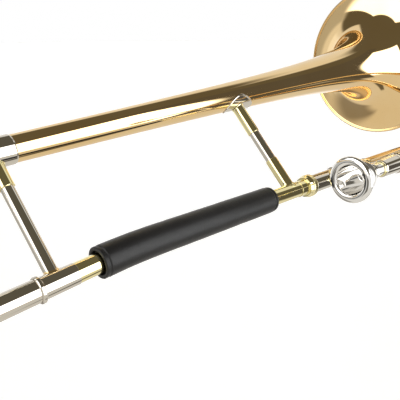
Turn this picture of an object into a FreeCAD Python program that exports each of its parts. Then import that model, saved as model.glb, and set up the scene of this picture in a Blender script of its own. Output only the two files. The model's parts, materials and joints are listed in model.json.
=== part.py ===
"""Tenor trombone: bell section, tuning slide, inner hand slide, outer hand slide, mouthpiece.

Row frame: origin on the axis of the lower hand-slide tube, where the slide lock nut meets the
lower barrel.  +X runs forward along the hand slide, +Z is up.  The bell plane leans to +Y and the
hand-slide plane to -Y, as the two sections are set for playing.
"""
import FreeCAD, Part
import math
import os
import re

import Sketcher
from FreeCAD import Placement, Rotation, Vector

# Driving dimensions, in millimetres and degrees.
DRIVING = {
    # how the two sections stand to each other
    "nut_station": 283.4,       # lock nut, measured along the bell from the rear brace
    "leg_gap": 102.4,           # bell leg to neck leg at the tuning slide
    "bend_station": 60.6,       # where the neckpipe turns towards the hand slide
    "bend_half": 22.5,          # half the length of that bend
    "slide_tilt": 4.3,          # neckpipe turn
    "bell_lean": 42.1,          # bell plane from the vertical, to +Y
    "slide_lean": 65.6,         # hand-slide plane from the vertical, to -Y
    "slide_gap": 86.2,          # distance between the hand-slide tubes
    "sheet": 0.5,               # wall of the drawn tubes
    "running": 0.06,            # radial clearance of a sliding tube
    "free_gap": 0.35,           # clearance of pieces that only pass each other
    # bell
    "bell_start": -8.0,
    "rim_station": 565.4,
    "rim_radius": 102.5,
    "flare_lead": 13.5,
    "flare_power": 0.61,
    "bead_radius": 1.6,
    # tuning slide
    "sleeve_start": -80.0,
    "sleeve_end": -10.0,
    "leg_end": -17.0,
    "end_ring": 3.5,
    "bell_sleeve_outer": 10.2,
    "neck_sleeve_outer": 8.2,
    "crook_station": -98.0,
    "crook_radius_of_tube": 8.7,
    "crook_ferrule_start": -104.0,
    "tuning_gap": 0.6,
    "tuning_brace_station": -86.9,
    "tuning_brace_radius": 3.6,
    # neckpipe, its ferrule and the rear brace
    "neck_outer": 7.6,
    "neck_ferrule_outer": 7.95,
    "neck_ferrule_end": 14.4,
    "bead_station": -12.5,
    "bead_height": 1.3,
    "bell_ferrule_start": -15.0,
    "bell_ferrule_end": 16.0,
    "bell_ferrule_outer": 11.2,
    "rear_sleeve_radius": 5.9,
    "rear_sleeve_low": -28.5,
    "rear_rod_radius": 5.0,
    "foot_height": 1.6,
    # front brace
    "front_station": 252.1,
    "front_drop": 116.8,        # bell axis down to the neckpipe axis at the front brace
    "saddle_half": 19.5,        # oval saddle under the bell: half its length
    "saddle_across": 13.2,      # and half its width, seen flat
    "saddle_sheet": 0.8,
    "front_sleeve_radius": 6.05,
    "front_rod_radius": 5.3,
    "front_sleeve_low": -46.3,
    "front_sleeve_high": -78.7,
    "socket_depth": 9.0,
    "foot_half": 8.4,
    "foot_across": 7.5,
    # leather hand guard
    "guard_start": 32.6,
    "guard_length": 186.8,
    "guard_outer": 12.25,
    "guard_inner": 10.75,
    "lining_inset": 4.0,
    "flap_angle": 62.0,
    "flap_sheet": 1.1,
    "flap_start": -178.0,
    "flap_end": -76.0,
    # receiver, lock nut and tenon, measured from the nut along the hand slide
    "receiver_start": -22.5,
    "receiver_end": -6.3,
    "receiver_outer": 8.0,
    "thread_start": -11.8,
    "thread_radius": 9.2,
    "tenon_rear": 7.25,
    "tenon_front": 8.05,
    "tenon_bore": 6.7,
    "flange_radius": 9.1,
    "flange_end": -3.5,
    "nut_rear": -12.0,
    "nut_front": -0.8,
    "nut_shoulder": 11.45,
    "nut_bore": 9.55,
    "nut_lip": 8.45,
    # inner hand slide
    "barrel_start": -0.4,
    "barrel_end": 52.0,
    "barrel_outer": 9.45,
    "barrel_bore": 8.9,
    "barrel_step": 16.0,
    "inner_outer": 7.2,
    "inner_bore": 6.7,
    "inner_end": 672.0,
    "stocking_start": 560.0,
    "outer_bore": 7.5,
    "outer_radius": 8.0,
    "bumper_length": 5.5,
    "inner_brace_station": 31.0,
    "brace_rod_radius": 4.8,
    "brace_flange_radius": 7.4,
    "brace_flange_height": 7.0,
    "lock_start": 41.0,
    "lock_length": 9.0,
    "lock_outer": 10.9,
    "lock_lug": 14.2,
    # mouthpiece side
    "receiver_rear": -12.5,
    "receiver_ring": 6.7,
    "receiver_tube_start": -10.7,
    "receiver_tube_rear": 7.7,
    "receiver_tube_front": 8.5,
    "receiver_tube_end": 15.4,
    "socket_rear": 5.75,
    "socket_front": 5.2,
    "leadpipe_outer": 6.6,
    "leadpipe_end": 205.0,
    "mouth_rim": -60.0,
    "mouth_end": 14.5,
    "mouth_radius": 19.5,
    "mouth_bite": 12.85,
    "mouth_cup": 25.0,
    "mouth_throat": 3.2,
    # outer hand slide
    "outer_start": 22.0,
    "hand_brace_station": 92.0,
    "hand_sleeve_half": 13.0,
    "hand_sleeve_outer": 8.8,
    "hand_rod_radius": 5.0,
    "bow_station": 700.0,
    "bow_ferrule_start": 664.0,
    "bow_ferrule_outer": 8.75,
    "bumper_radius": 5.5,
    "bumper_height": 9.0,
    "stud_radius": 1.6,
    # water key
    "key_station": 688.0,
    "key_nipple_radius": 3.4,
    "key_nipple_bore": 1.9,
    "key_nipple_low": -13.6,
    "key_pivot_back": 14.0,     # pivot behind the nipple
    "key_pivot_low": -15.2,
    "key_pin_radius": 1.0,
    "key_post_gap": 4.2,        # half the distance between the posts
    "key_post_sheet": 1.6,
    "key_cup_radius": 4.3,
}

HORN_POINTS = 26
OVAL_CORNERS = 32

document = FreeCAD.newDocument("Trombone")
sheet = document.addObject("Spreadsheet::Sheet", "dims")
for row, (alias, size) in enumerate(DRIVING.items(), start=1):
    sheet.set(f"A{row}", alias)
    sheet.set(f"B{row}", str(size))
    sheet.setAlias(f"B{row}", alias)
document.recompute()

nodes = []


def bound(text):
    """An expression on the sheet: every name in it becomes a reference to its cell."""
    return re.sub(r"([a-z][a-z_]+)", r"dims.\1", text)


def value(text):
    """The number that an expression on the sheet gives."""
    return float(sheet.evalExpression(bound(text)))


# ---------------------------------------------------------------- frames

def spot(x, y, z):
    return Placement(Vector(x, y, z), Rotation())


def turn(axis, degrees):
    return Placement(Vector(), Rotation(axis, degrees))


AXIS_X = Vector(1, 0, 0)
AXIS_Y = Vector(0, 1, 0)
AXIS_Z = Vector(0, 0, 1)

# Hand-slide frame: +X along the slide, +Z from the lower tube to the mouthpiece tube.
SLIDE = turn(AXIS_X, value("slide_lean"))
# Neck frame: +X along the slide, +Z towards the bell.  Bell frame: +X along the bell,
# origin on the bell axis at the rear brace.
NECK = turn(AXIS_X, -value("bell_lean"))
NUT_DROP = value("leg_gap") + math.tan(math.radians(value("slide_tilt"))) * (
    value("nut_station - bend_station"))
BELL = NECK * turn(AXIS_Y, -value("slide_tilt")) * spot(-value("nut_station"), 0, NUT_DROP)
BELL_LEG = BELL
NECK_LEG = BELL * spot(0, 0, -value("leg_gap"))
LOWER = SLIDE
UPPER = SLIDE * spot(0, 0, value("slide_gap"))


# ---------------------------------------------------------------- builders

def new_body(name, placement):
    body = document.addObject("PartDesign::Body", name)
    body.Label = name
    body.Placement = placement
    nodes.append(body)
    return body


def new_sketch(body, role, name):
    sketch = body.newObject("Sketcher::SketchObject", f"{body.Name}_{name}")
    plane = [each for each in body.Origin.OriginFeatures if each.Role == role][0]
    sketch.AttachmentSupport = [(plane, "")]
    sketch.MapMode = "FlatFace"
    return sketch


def bind_point(sketch, edge, end, across, up):
    """Fix one point of the sketch by two expressions measured from the sketch's origin."""
    for kind, text in (("DistanceX", across), ("DistanceY", up)):
        distance = value(text)
        if abs(distance) < 1e-9:
            if kind == "DistanceX":
                sketch.addConstraint(Sketcher.Constraint("PointOnObject", edge, end, -2))
            else:
                sketch.addConstraint(Sketcher.Constraint("PointOnObject", edge, end, -1))
            continue
        index = sketch.addConstraint(Sketcher.Constraint(kind, -1, 1, edge, end, distance))
        sketch.setExpression(f"Constraints[{index}]", bound(text))


def draw_outline(sketch, outline):
    """A closed polygon whose corners are bound to the sheet."""
    corners = [Vector(value(across), value(up), 0) for across, up in outline]
    first = sketch.GeometryCount
    count = len(corners)
    for index, corner in enumerate(corners):
        sketch.addGeometry(Part.LineSegment(corner, corners[(index + 1) % count]))
    for index in range(count):
        following = first + (index + 1) % count
        sketch.addConstraint(
            Sketcher.Constraint("Coincident", first + index, 2, following, 1))
    for index, (across, up) in enumerate(outline):
        bind_point(sketch, first + index, 1, across, up)


def draw_circle(sketch, across, up, radius):
    circle = Part.Circle(Vector(value(across), value(up), 0), AXIS_Z, value(radius))
    edge = sketch.addGeometry(circle)
    bind_point(sketch, edge, 3, across, up)
    index = sketch.addConstraint(Sketcher.Constraint("Radius", edge, value(radius)))
    sketch.setExpression(f"Constraints[{index}]", bound(radius))


def turned(name, placement, outline):
    """A piece turned about its own X axis from an outline of (station, radius) corners."""
    body = new_body(name, placement)
    sketch = new_sketch(body, "XY_Plane", "outline")
    draw_outline(sketch, outline)
    turning = body.newObject("PartDesign::Revolution", f"{name}_turning")
    turning.Profile = sketch
    turning.ReferenceAxis = (sketch, ["H_Axis"])
    turning.Angle = 360
    return body


def tube(name, placement, start, end, outer, inner):
    return turned(name, placement, [(start, inner), (end, inner), (end, outer), (start, outer)])


def post(name, placement, outlines, copes=()):
    """Rings turned about the local Z axis, with a round seat along X cut for each tube."""
    body = new_body(name, placement)
    sketch = new_sketch(body, "XZ_Plane", "outline")
    for outline in outlines:
        draw_outline(sketch, outline)
    turning = body.newObject("PartDesign::Revolution", f"{name}_turning")
    turning.Profile = sketch
    turning.ReferenceAxis = (sketch, ["V_Axis"])
    turning.Angle = 360
    for number, (height, radius) in enumerate(copes):
        document.recompute()
        before = body.Shape.Volume
        seat = new_sketch(body, "YZ_Plane", f"seat_{number}")
        draw_circle(seat, "0", height, radius)
        cut = body.newObject("PartDesign::Pocket", f"{name}_cut_{number}")
        cut.Profile = seat
        cut.Type = "Length"
        cut.Length = 80
        cut.Midplane = True
        document.recompute()
        if not body.Shape.Volume < before:
            raise RuntimeError(f"{name}: seat {number} cut nothing")
    return body


def sleeve_post(name, placement, low, high, outer, inner, copes=()):
    outline = [(inner, low), (outer, low), (outer, high), (inner, high)]
    return post(name, placement, [outline], copes)


def oval(half, across):
    """Corners of an oval outline, half along X and across along Y."""
    corners = []
    for step in range(OVAL_CORNERS):
        angle = 2 * math.pi * step / OVAL_CORNERS
        corners.append((f"{half} * ({math.cos(angle):.6f})", f"{across} * ({math.sin(angle):.6f})"))
    return corners


def patch(name, placement, outline, half, across):
    """A sheet saddle: a turned strip about X, kept only inside an oval on its -Z side."""
    body = new_body(name, placement)
    sketch = new_sketch(body, "XZ_Plane", "outline")
    draw_outline(sketch, outline)
    strip = body.newObject("PartDesign::Revolution", f"{name}_strip")
    strip.Profile = sketch
    strip.ReferenceAxis = (sketch, ["H_Axis"])
    strip.Angle = 170
    strip.Midplane = True
    document.recompute()
    before = body.Shape.Volume
    trim = new_sketch(body, "XY_Plane", "trim")
    far = "60"
    draw_outline(trim, [(f"-{far}", f"-{far}"), (far, f"-{far}"), (far, far), (f"-{far}", far)])
    draw_outline(trim, oval(half, across))
    cut = body.newObject("PartDesign::Pocket", f"{name}_trim")
    cut.Profile = trim
    cut.Type = "Length"
    cut.Length = 120
    cut.Midplane = True
    document.recompute()
    if not body.Shape.Volume < before:
        raise RuntimeError(f"{name}: the patch outline cut nothing")
    return body


def half_ring(name, placement, ring, outer, inner, reverse):
    """A half circle of tube about the local Y axis, open towards -X, or +X when reversed."""
    body = new_body(name, placement)
    sketch = new_sketch(body, "YZ_Plane", "section")
    draw_circle(sketch, "0", ring, outer)
    draw_circle(sketch, "0", ring, inner)
    bow = body.newObject("PartDesign::Revolution", f"{name}_bow")
    bow.Profile = sketch
    bow.ReferenceAxis = (sketch, ["H_Axis"])
    bow.Angle = 180
    bow.Reversed = reverse
    return body


def along_neck(name, start, length, outer, inner):
    """A tube that follows the neckpipe: straight, one bend, straight again."""
    body = new_body(name, NECK_LEG * spot(value(start), 0, 0))
    section = new_sketch(body, "YZ_Plane", "section")
    draw_circle(section, "0", "0", outer)
    draw_circle(section, "0", "0", inner)
    tilt = math.radians(value("slide_tilt"))
    half = value("bend_half")
    radius = half / math.tan(tilt / 2)
    bend_at = value(f"bend_station - ({start})")
    last = value(length)
    begin = Vector(bend_at - half, 0, 0)
    finish = Vector(bend_at + half * math.cos(tilt), -half * math.sin(tilt), 0)
    end = Vector(last, -(last - bend_at) * math.tan(tilt), 0)
    centre = Vector(begin.x, -radius, 0)
    path = new_sketch(body, "XZ_Plane", "path")
    path.addGeometry(Part.LineSegment(Vector(0, 0, 0), begin))
    arc = Part.ArcOfCircle(Part.Circle(centre, AXIS_Z, radius), math.pi / 2 - tilt, math.pi / 2)
    path.addGeometry(arc)
    path.addGeometry(Part.LineSegment(finish, end))
    path.addConstraint(Sketcher.Constraint("Coincident", 0, 1, -1, 1))
    path.addConstraint(Sketcher.Constraint("Horizontal", 0))
    path.addConstraint(Sketcher.Constraint("Tangent", 0, 2, 1, 2))
    path.addConstraint(Sketcher.Constraint("Tangent", 1, 1, 2, 1))
    length_at = path.addConstraint(Sketcher.Constraint("DistanceX", 0, 1, 0, 2, begin.x))
    path.setExpression(f"Constraints[{length_at}]", bound(f"bend_station - bend_half - ({start})"))
    radius_at = path.addConstraint(Sketcher.Constraint("Radius", 1, radius))
    path.setExpression(
        f"Constraints[{radius_at}]", "dims.bend_half / tan(dims.slide_tilt * 1deg / 2)")
    end_at = path.addConstraint(Sketcher.Constraint("DistanceX", -1, 1, 2, 2, last))
    path.setExpression(f"Constraints[{end_at}]", bound(length))
    angle_at = path.addConstraint(Sketcher.Constraint("Angle", 2, -tilt))
    path.setExpression(f"Constraints[{angle_at}]", "-dims.slide_tilt * 1deg")
    pipe = body.newObject("PartDesign::AdditivePipe", f"{name}_pipe")
    pipe.Profile = section
    pipe.Spine = (path, ["Edge1", "Edge2", "Edge3"])
    pipe.Mode = "Frenet"
    return body


# ---------------------------------------------------------------- bell section

def horn_radius(station):
    """Outer radius of the bell: it grows as a power of the distance left to the rim."""
    reach = value("rim_station + flare_lead") - station
    return value("rim_radius") * (value("flare_lead") / reach) ** value("flare_power")


def horn_expression(station):
    """The same radius as an expression on the sheet."""
    reach = f"(rim_station + flare_lead - ({station}))"
    return f"rim_radius * (flare_lead / {reach}) ^ flare_power"


def horn_station(radius):
    """Where the bell has reached an outer radius."""
    share = (value("rim_radius") / radius) ** (1 / value("flare_power"))
    return value("rim_station + flare_lead") - value("flare_lead") * share


def make_bell():
    """The flare is a formula curve, so the shell is revolved from interpolated points."""
    wall = value("sheet")
    bead = value("bead_radius")
    bead_centre = value("rim_radius") - bead
    full = value("rim_station + flare_lead")
    far = full - value("bell_start")
    near = full - horn_station(bead_centre)
    outer = []
    inner = []
    for index in range(HORN_POINTS + 1):
        reach = far * (near / far) ** (index / HORN_POINTS)
        station = full - reach
        radius = horn_radius(station)
        slope = value("flare_power") * radius / reach
        lean = math.hypot(1, slope)
        outer.append(Vector(station, 0, radius))
        inner.append(Vector(station + wall * slope / lean, 0, radius - wall / lean))
    outer_curve = Part.BSplineCurve()
    outer_curve.interpolate(outer)
    inner_curve = Part.BSplineCurve()
    inner_curve.interpolate(inner)
    outline = Part.Wire([
        outer_curve.toShape(),
        Part.LineSegment(outer[-1], inner[-1]).toShape(),
        inner_curve.toShape(),
        Part.LineSegment(inner[0], outer[0]).toShape(),
    ])
    shell = Part.Face(outline).revolve(Vector(), AXIS_X, 360)
    bead_station = inner[-1].x - bead
    roll = Part.makeTorus(bead_centre, bead, Vector(bead_station, 0, 0), AXIS_X)
    hollow = Part.makeTorus(bead_centre, bead - wall, Vector(bead_station, 0, 0), AXIS_X)
    bell = document.addObject("Part::Feature", "bell")
    bell.Label = "bell"
    bell.Shape = shell.fuse(roll).cut(hollow).Solids[0]
    bell.Placement = BELL
    nodes.append(bell)

    wire = document.addObject("Part::Torus", "rim_wire")
    wire.Label = "rim_wire"
    wire.setExpression("Radius1", bound("rim_radius - bead_radius"))
    wire.setExpression("Radius2", bound("bead_radius - sheet - 0.05"))
    wire.Placement = BELL * spot(bead_station, 0, 0) * turn(AXIS_Y, 90)
    nodes.append(wire)


def make_bell_leg():
    bell_fit = horn_expression("bell_start")
    front_fit = horn_expression("bell_ferrule_end")
    turned("bell_ferrule", BELL_LEG, [
        ("bell_ferrule_start", "bell_sleeve_outer"),
        ("bell_start", "bell_sleeve_outer"),
        ("bell_start", bell_fit),
        ("bell_ferrule_end", front_fit),
        ("bell_ferrule_end", "bell_ferrule_outer - 0.3"),
        ("bell_ferrule_end - 1", "bell_ferrule_outer"),
        ("bell_ferrule_start + 1", "bell_ferrule_outer"),
        ("bell_ferrule_start", "bell_ferrule_outer - 0.3"),
    ])
    tube("bell_sleeve", BELL_LEG, "sleeve_start", "bell_start - 0.5",
         "bell_sleeve_outer", "bell_sleeve_outer - sheet")
    tube("bell_sleeve_ring", BELL_LEG, "sleeve_start", "sleeve_start + end_ring",
         "bell_sleeve_outer + 1.1", "bell_sleeve_outer")


def make_neck_leg():
    tube("neck_sleeve", NECK_LEG, "sleeve_start", "sleeve_end - 1",
         "neck_sleeve_outer", "neck_sleeve_outer - sheet")
    tube("neck_sleeve_ring", NECK_LEG, "sleeve_start", "sleeve_start + end_ring",
         "neck_sleeve_outer + 1.1", "neck_sleeve_outer")
    turned("neck_bead_ring", NECK_LEG, [
        ("bead_station - 1.9", "neck_sleeve_outer"),
        ("bead_station + 1.5", "neck_sleeve_outer"),
        ("bead_station + 1.5", "neck_sleeve_outer + 0.5 * bead_height"),
        ("bead_station + 0.8", "neck_sleeve_outer + bead_height"),
        ("bead_station - 1.2", "neck_sleeve_outer + bead_height"),
        ("bead_station - 1.9", "neck_sleeve_outer + 0.5 * bead_height"),
    ])
    tube("neck_ferrule", NECK_LEG, "sleeve_end - 0.9", "neck_ferrule_end",
         "neck_ferrule_outer", "neck_outer")
    along_neck("neckpipe", "sleeve_end - 0.9", "nut_station - 21 - sleeve_end",
               "neck_outer", "neck_outer - sheet")


def make_rear_brace():
    """Brass sleeve under the bell ferrule, nickel rod, and a small foot on the neck ferrule."""
    neck_top = "neck_ferrule_outer - leg_gap"
    sleeve_post("rear_brace_sleeve", BELL, "rear_sleeve_low", "0",
                "rear_sleeve_radius", "rear_rod_radius", [("0", "bell_ferrule_outer")])
    sleeve_post("rear_brace_rod", BELL, "-leg_gap", "rear_sleeve_low + socket_depth",
                "rear_rod_radius", "rear_rod_radius - 0.9", [("-leg_gap", "neck_ferrule_outer")])
    post("rear_brace_foot", BELL, [[
        ("rear_rod_radius", "-leg_gap"),
        ("rear_rod_radius + 2.4", "-leg_gap"),
        ("rear_rod_radius + 2.4", f"{neck_top} - 2"),
        ("rear_rod_radius + 0.5", f"{neck_top} + foot_height"),
        ("rear_rod_radius", f"{neck_top} + foot_height"),
    ]], [("-leg_gap", "neck_ferrule_outer")])


def make_front_brace():
    """Nickel saddle under the bell, two brass sleeves on a nickel rod, brass neck saddle."""
    station = spot(value("front_station"), 0, 0)
    rear_fit = horn_expression("front_station - saddle_half - 1")
    front_fit = horn_expression("front_station + saddle_half + 1")
    patch("bell_saddle", BELL * station, [
        ("-saddle_half - 1", f"-({rear_fit})"),
        ("saddle_half + 1", f"-({front_fit})"),
        ("saddle_half + 1", f"-({front_fit} + saddle_sheet)"),
        ("-saddle_half - 1", f"-({rear_fit} + saddle_sheet)"),
    ], "saddle_half", "saddle_across")
    saddle_low = f"{horn_expression('front_station')} + saddle_sheet"
    sleeve_post("front_brace_upper_sleeve", BELL * station, "front_sleeve_low", "-8",
                "front_sleeve_radius", "front_rod_radius", [("0", saddle_low)])
    sleeve_post("front_brace_rod", BELL * station, "front_sleeve_high - socket_depth",
                "front_sleeve_low + socket_depth", "front_rod_radius", "front_rod_radius - 0.9")
    sleeve_post("front_brace_lower_sleeve", BELL * station, "-front_drop", "front_sleeve_high",
                "front_sleeve_radius", "front_rod_radius",
                [("-front_drop", "neck_outer + saddle_sheet")])
    foot = NECK * spot(-value("nut_station - front_station"), 0, 0) * turn(AXIS_X, 180)
    patch("neck_saddle", foot, [
        ("-12", "-neck_outer"),
        ("12", "-neck_outer"),
        ("12", "-(neck_outer + saddle_sheet)"),
        ("-12", "-(neck_outer + saddle_sheet)"),
    ], "foot_half", "foot_across")


def make_guard():
    """Leather sleeve round the neckpipe, its padded lining, and the closing flap."""
    along_neck("leather_guard", "guard_start", "guard_length", "guard_outer", "guard_inner")
    along_neck("guard_lining", "guard_start + lining_inset", "guard_length - 2 * lining_inset",
               "guard_inner", "neck_outer")
    flap = new_body("guard_flap", NECK * turn(AXIS_X, -100))
    sketch = new_sketch(flap, "XZ_Plane", "outline")
    draw_outline(sketch, [
        ("flap_start", "guard_outer"),
        ("flap_end", "guard_outer"),
        ("flap_end", "guard_outer + flap_sheet"),
        ("flap_start", "guard_outer + flap_sheet"),
    ])
    strip = flap.newObject("PartDesign::Revolution", "guard_flap_strip")
    strip.Profile = sketch
    strip.ReferenceAxis = (sketch, ["H_Axis"])
    strip.setExpression("Angle", bound("flap_angle"))
    strip.Midplane = True


def make_receiver():
    turned("slide_receiver", NECK, [
        ("receiver_start", "neck_outer"),
        ("receiver_start + 5", "neck_outer"),
        ("receiver_start + 5", "tenon_rear + running"),
        ("receiver_end", "tenon_front + running"),
        ("receiver_end", "thread_radius"),
        ("thread_start", "thread_radius"),
        ("thread_start", "receiver_outer"),
        ("receiver_start", "receiver_outer"),
    ])


def make_lock_nut():
    """Captive nut: rear cone, round shoulder for the fingers, and a front lip over the tenon."""
    turned("lock_nut", NECK, [
        ("nut_rear", "nut_bore"),
        ("flange_end + free_gap", "nut_bore"),
        ("flange_end + free_gap", "nut_lip"),
        ("nut_front", "nut_lip"),
        ("nut_front", "nut_shoulder - 1.5"),
        ("nut_front - 0.7", "nut_shoulder - 0.5"),
        ("nut_front - 1.9", "nut_shoulder"),
        ("nut_rear + 5.2", "nut_shoulder"),
        ("nut_rear + 4", "nut_shoulder - 0.5"),
        ("nut_rear + 3", "nut_shoulder - 1.1"),
        ("nut_rear", "nut_bore + 0.4"),
    ])


# ---------------------------------------------------------------- tuning slide

def make_tuning_slide():
    start = "sleeve_start - tuning_gap"
    legs = (
        ("bell_leg", BELL_LEG, "bell_sleeve_outer - sheet - running"),
        ("neck_leg", NECK_LEG, "neck_sleeve_outer - sheet - running"),
    )
    for name, leg, outer in legs:
        tube(f"tuning_{name}", leg, "crook_ferrule_start + 6", "leg_end",
             outer, f"{outer} - sheet")
        turned(f"tuning_{name}_ferrule", leg, [
            ("crook_ferrule_start", "crook_radius_of_tube"),
            ("crook_station", "crook_radius_of_tube"),
            ("crook_station", outer),
            (start, outer),
            (start, f"{outer} + 1.2"),
            ("crook_station + 5", f"{outer} + 1.2"),
            ("crook_station - 4", "crook_radius_of_tube + 0.8"),
            ("crook_ferrule_start", "crook_radius_of_tube + 0.8"),
        ])
    centre = BELL * spot(value("crook_station"), 0, -value("leg_gap") / 2)
    half_ring("tuning_crook", centre, "leg_gap / 2",
              "crook_radius_of_tube", "crook_radius_of_tube - sheet", True)
    brace = BELL * spot(value("tuning_brace_station"), 0, 0)
    bell_seat = "bell_sleeve_outer - sheet - running + 1.2"
    neck_seat = "neck_sleeve_outer - sheet - running + 1.2"
    wide = "tuning_brace_radius + 1.6"
    post("tuning_brace", brace, [[
        ("0", "-leg_gap"),
        (wide, "-leg_gap"),
        (wide, "-leg_gap + 11"),
        ("tuning_brace_radius", "-leg_gap + 15"),
        ("tuning_brace_radius", "-17"),
        (wide, "-13"),
        (wide, "0"),
        ("0", "0"),
    ]], [("0", bell_seat), ("-leg_gap", neck_seat)])


# ---------------------------------------------------------------- inner hand slide

def make_inner_slide():
    turned("slide_tenon", LOWER, [
        ("receiver_start + 5.5", "tenon_bore"),
        ("barrel_step", "tenon_bore"),
        ("barrel_step", "tenon_front"),
        ("flange_end", "tenon_front"),
        ("flange_end", "flange_radius"),
        ("receiver_end + free_gap", "flange_radius"),
        ("receiver_end + free_gap", "tenon_front"),
        ("receiver_end", "tenon_front"),
        ("receiver_start + 5.5", "tenon_rear"),
    ])
    turned("lower_barrel", LOWER, [
        ("barrel_start", "tenon_front"),
        ("barrel_step", "tenon_front"),
        ("barrel_step", "barrel_bore"),
        ("barrel_end", "barrel_bore"),
        ("barrel_end", "barrel_outer + 0.35"),
        ("barrel_end - 1.5", "barrel_outer + 0.35"),
        ("barrel_end - 1.5", "barrel_outer"),
        ("barrel_start + 1.2", "barrel_outer"),
        ("barrel_start", "barrel_outer - 0.7"),
    ])
    turned("upper_barrel", UPPER, [
        ("receiver_tube_end", "receiver_tube_front"),
        ("barrel_step", "receiver_tube_front"),
        ("barrel_step", "barrel_bore"),
        ("barrel_end", "barrel_bore"),
        ("barrel_end", "barrel_outer + 0.35"),
        ("barrel_end - 1.5", "barrel_outer + 0.35"),
        ("barrel_end - 1.5", "barrel_outer"),
        ("receiver_tube_end + 1", "barrel_outer"),
        ("receiver_tube_end", "barrel_outer - 0.6"),
    ])
    for name, leg in (("lower", LOWER), ("upper", UPPER)):
        turned(f"{name}_inner_tube", leg, [
            ("barrel_step", "inner_bore"),
            ("inner_end", "inner_bore"),
            ("inner_end", "outer_bore - running"),
            ("stocking_start", "outer_bore - running"),
            ("stocking_start - 2", "inner_outer"),
            ("barrel_step", "inner_outer"),
        ])
    corks = tube("cork_bumpers", LOWER, "barrel_step", "barrel_step + bumper_length",
                 "barrel_bore", "inner_outer")
    document.recompute()
    pair = corks.newObject("PartDesign::LinearPattern", "cork_bumper_pair")
    pair.Originals = [document.getObject("cork_bumpers_turning")]
    pair.Direction = (document.getObject("cork_bumpers_outline"), ["N_Axis"])
    pair.setExpression("Length", bound("slide_gap"))
    pair.Occurrences = 2
    corks.Tip = pair
    slide_brace("inner_brace", "flanges", "inner_brace_station", "barrel_outer",
                "brace_rod_radius", "brace_flange_radius", "brace_flange_height")


def slide_brace(prefix, ends, station, seat, rod, socket, height):
    """A nickel rod between the two slide tubes with a brass socket at each end."""
    placement = SLIDE * spot(value(station), 0, 0)
    seats = [("0", seat), ("slide_gap", seat)]
    sleeve_post(f"{prefix}_rod", placement, "0", "slide_gap", rod, f"{rod} - 0.9", seats)
    top = f"({seat} + {height})"
    post(f"{prefix}_{ends}", placement, [
        [
            (rod, "0"),
            (socket, "0"),
            (socket, f"{top} - 4"),
            (f"{rod} + 0.7", top),
            (rod, top),
        ],
        [
            (rod, "slide_gap"),
            (socket, "slide_gap"),
            (socket, f"slide_gap - {top} + 4"),
            (f"{rod} + 0.7", f"slide_gap - {top}"),
            (rod, f"slide_gap - {top}"),
        ],
    ], seats)


def make_mouthpiece_side():
    turned("receiver_ring", UPPER, [
        ("receiver_rear", "socket_rear"),
        ("receiver_tube_start", "socket_rear - 0.03"),
        ("receiver_tube_start", "receiver_ring"),
        ("receiver_rear + 0.8", "receiver_ring"),
        ("receiver_rear", "receiver_ring - 0.5"),
    ])
    turned("mouthpiece_receiver", UPPER, [
        ("receiver_tube_start", "socket_rear - 0.03"),
        ("barrel_step", "socket_front"),
        ("barrel_step", "receiver_tube_front"),
        ("receiver_tube_end - 3", "receiver_tube_front"),
        ("receiver_tube_start + 1", "receiver_tube_rear"),
        ("receiver_tube_start", "receiver_tube_rear - 0.6"),
    ])
    turned("leadpipe", UPPER, [
        ("barrel_step", "socket_front - 0.2"),
        ("leadpipe_end", "leadpipe_outer - 0.3"),
        ("leadpipe_end", "leadpipe_outer"),
        ("barrel_step", "leadpipe_outer"),
    ])
    turned("mouthpiece", UPPER, [
        ("mouth_rim + 2.2", "mouth_bite - 0.4"),
        ("mouth_rim + 0.6", "mouth_bite + 0.9"),
        ("mouth_rim", "mouth_bite + 2.6"),
        ("mouth_rim + 0.3", "mouth_radius - 2.1"),
        ("mouth_rim + 1.6", "mouth_radius - 0.5"),
        ("mouth_rim + 3.2", "mouth_radius"),
        ("mouth_rim + 5", "mouth_radius - 0.4"),
        ("mouth_rim + 6.4", "mouth_radius - 2.4"),
        ("mouth_rim + 12", "mouth_radius - 3.6"),
        ("mouth_rim + 20", "mouth_radius - 6.4"),
        ("mouth_rim + 28", "mouth_radius - 11"),
        ("mouth_rim + 35", "mouth_throat + 2.1"),
        ("mouth_rim + 39", "mouth_throat + 1.8"),
        ("receiver_rear - 3", "socket_rear - 0.15"),
        ("receiver_rear", "socket_rear - running"),
        ("mouth_end", "socket_front - running"),
        ("mouth_end", "mouth_throat + 1.3"),
        ("mouth_rim + mouth_cup + 6", "mouth_throat"),
        ("mouth_rim + mouth_cup", "mouth_throat + 0.5"),
        ("mouth_rim + mouth_cup - 5", "mouth_throat + 4"),
        ("mouth_rim + 12", "mouth_bite - 3.2"),
    ])


def make_lock_ring():
    """Turning collar on the lower barrel with a thumb lug."""
    ring = tube("slide_lock_ring", LOWER, "lock_start", "lock_start + lock_length",
                "lock_outer", "barrel_outer + free_gap")
    document.recompute()
    sketch = new_sketch(ring, "YZ_Plane", "lug")
    draw_outline(sketch, [
        ("-2.4", "barrel_outer + 0.7"),
        ("2.4", "barrel_outer + 0.7"),
        ("1.8", "lock_lug"),
        ("-1.8", "lock_lug"),
    ])
    sketch.AttachmentOffset = spot(0, 0, value("lock_start + 1.5"))
    lug = ring.newObject("PartDesign::Pad", "slide_lock_ring_lug")
    lug.Profile = sketch
    lug.setExpression("Length", bound("lock_length - 3"))


# ---------------------------------------------------------------- outer hand slide

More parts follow.
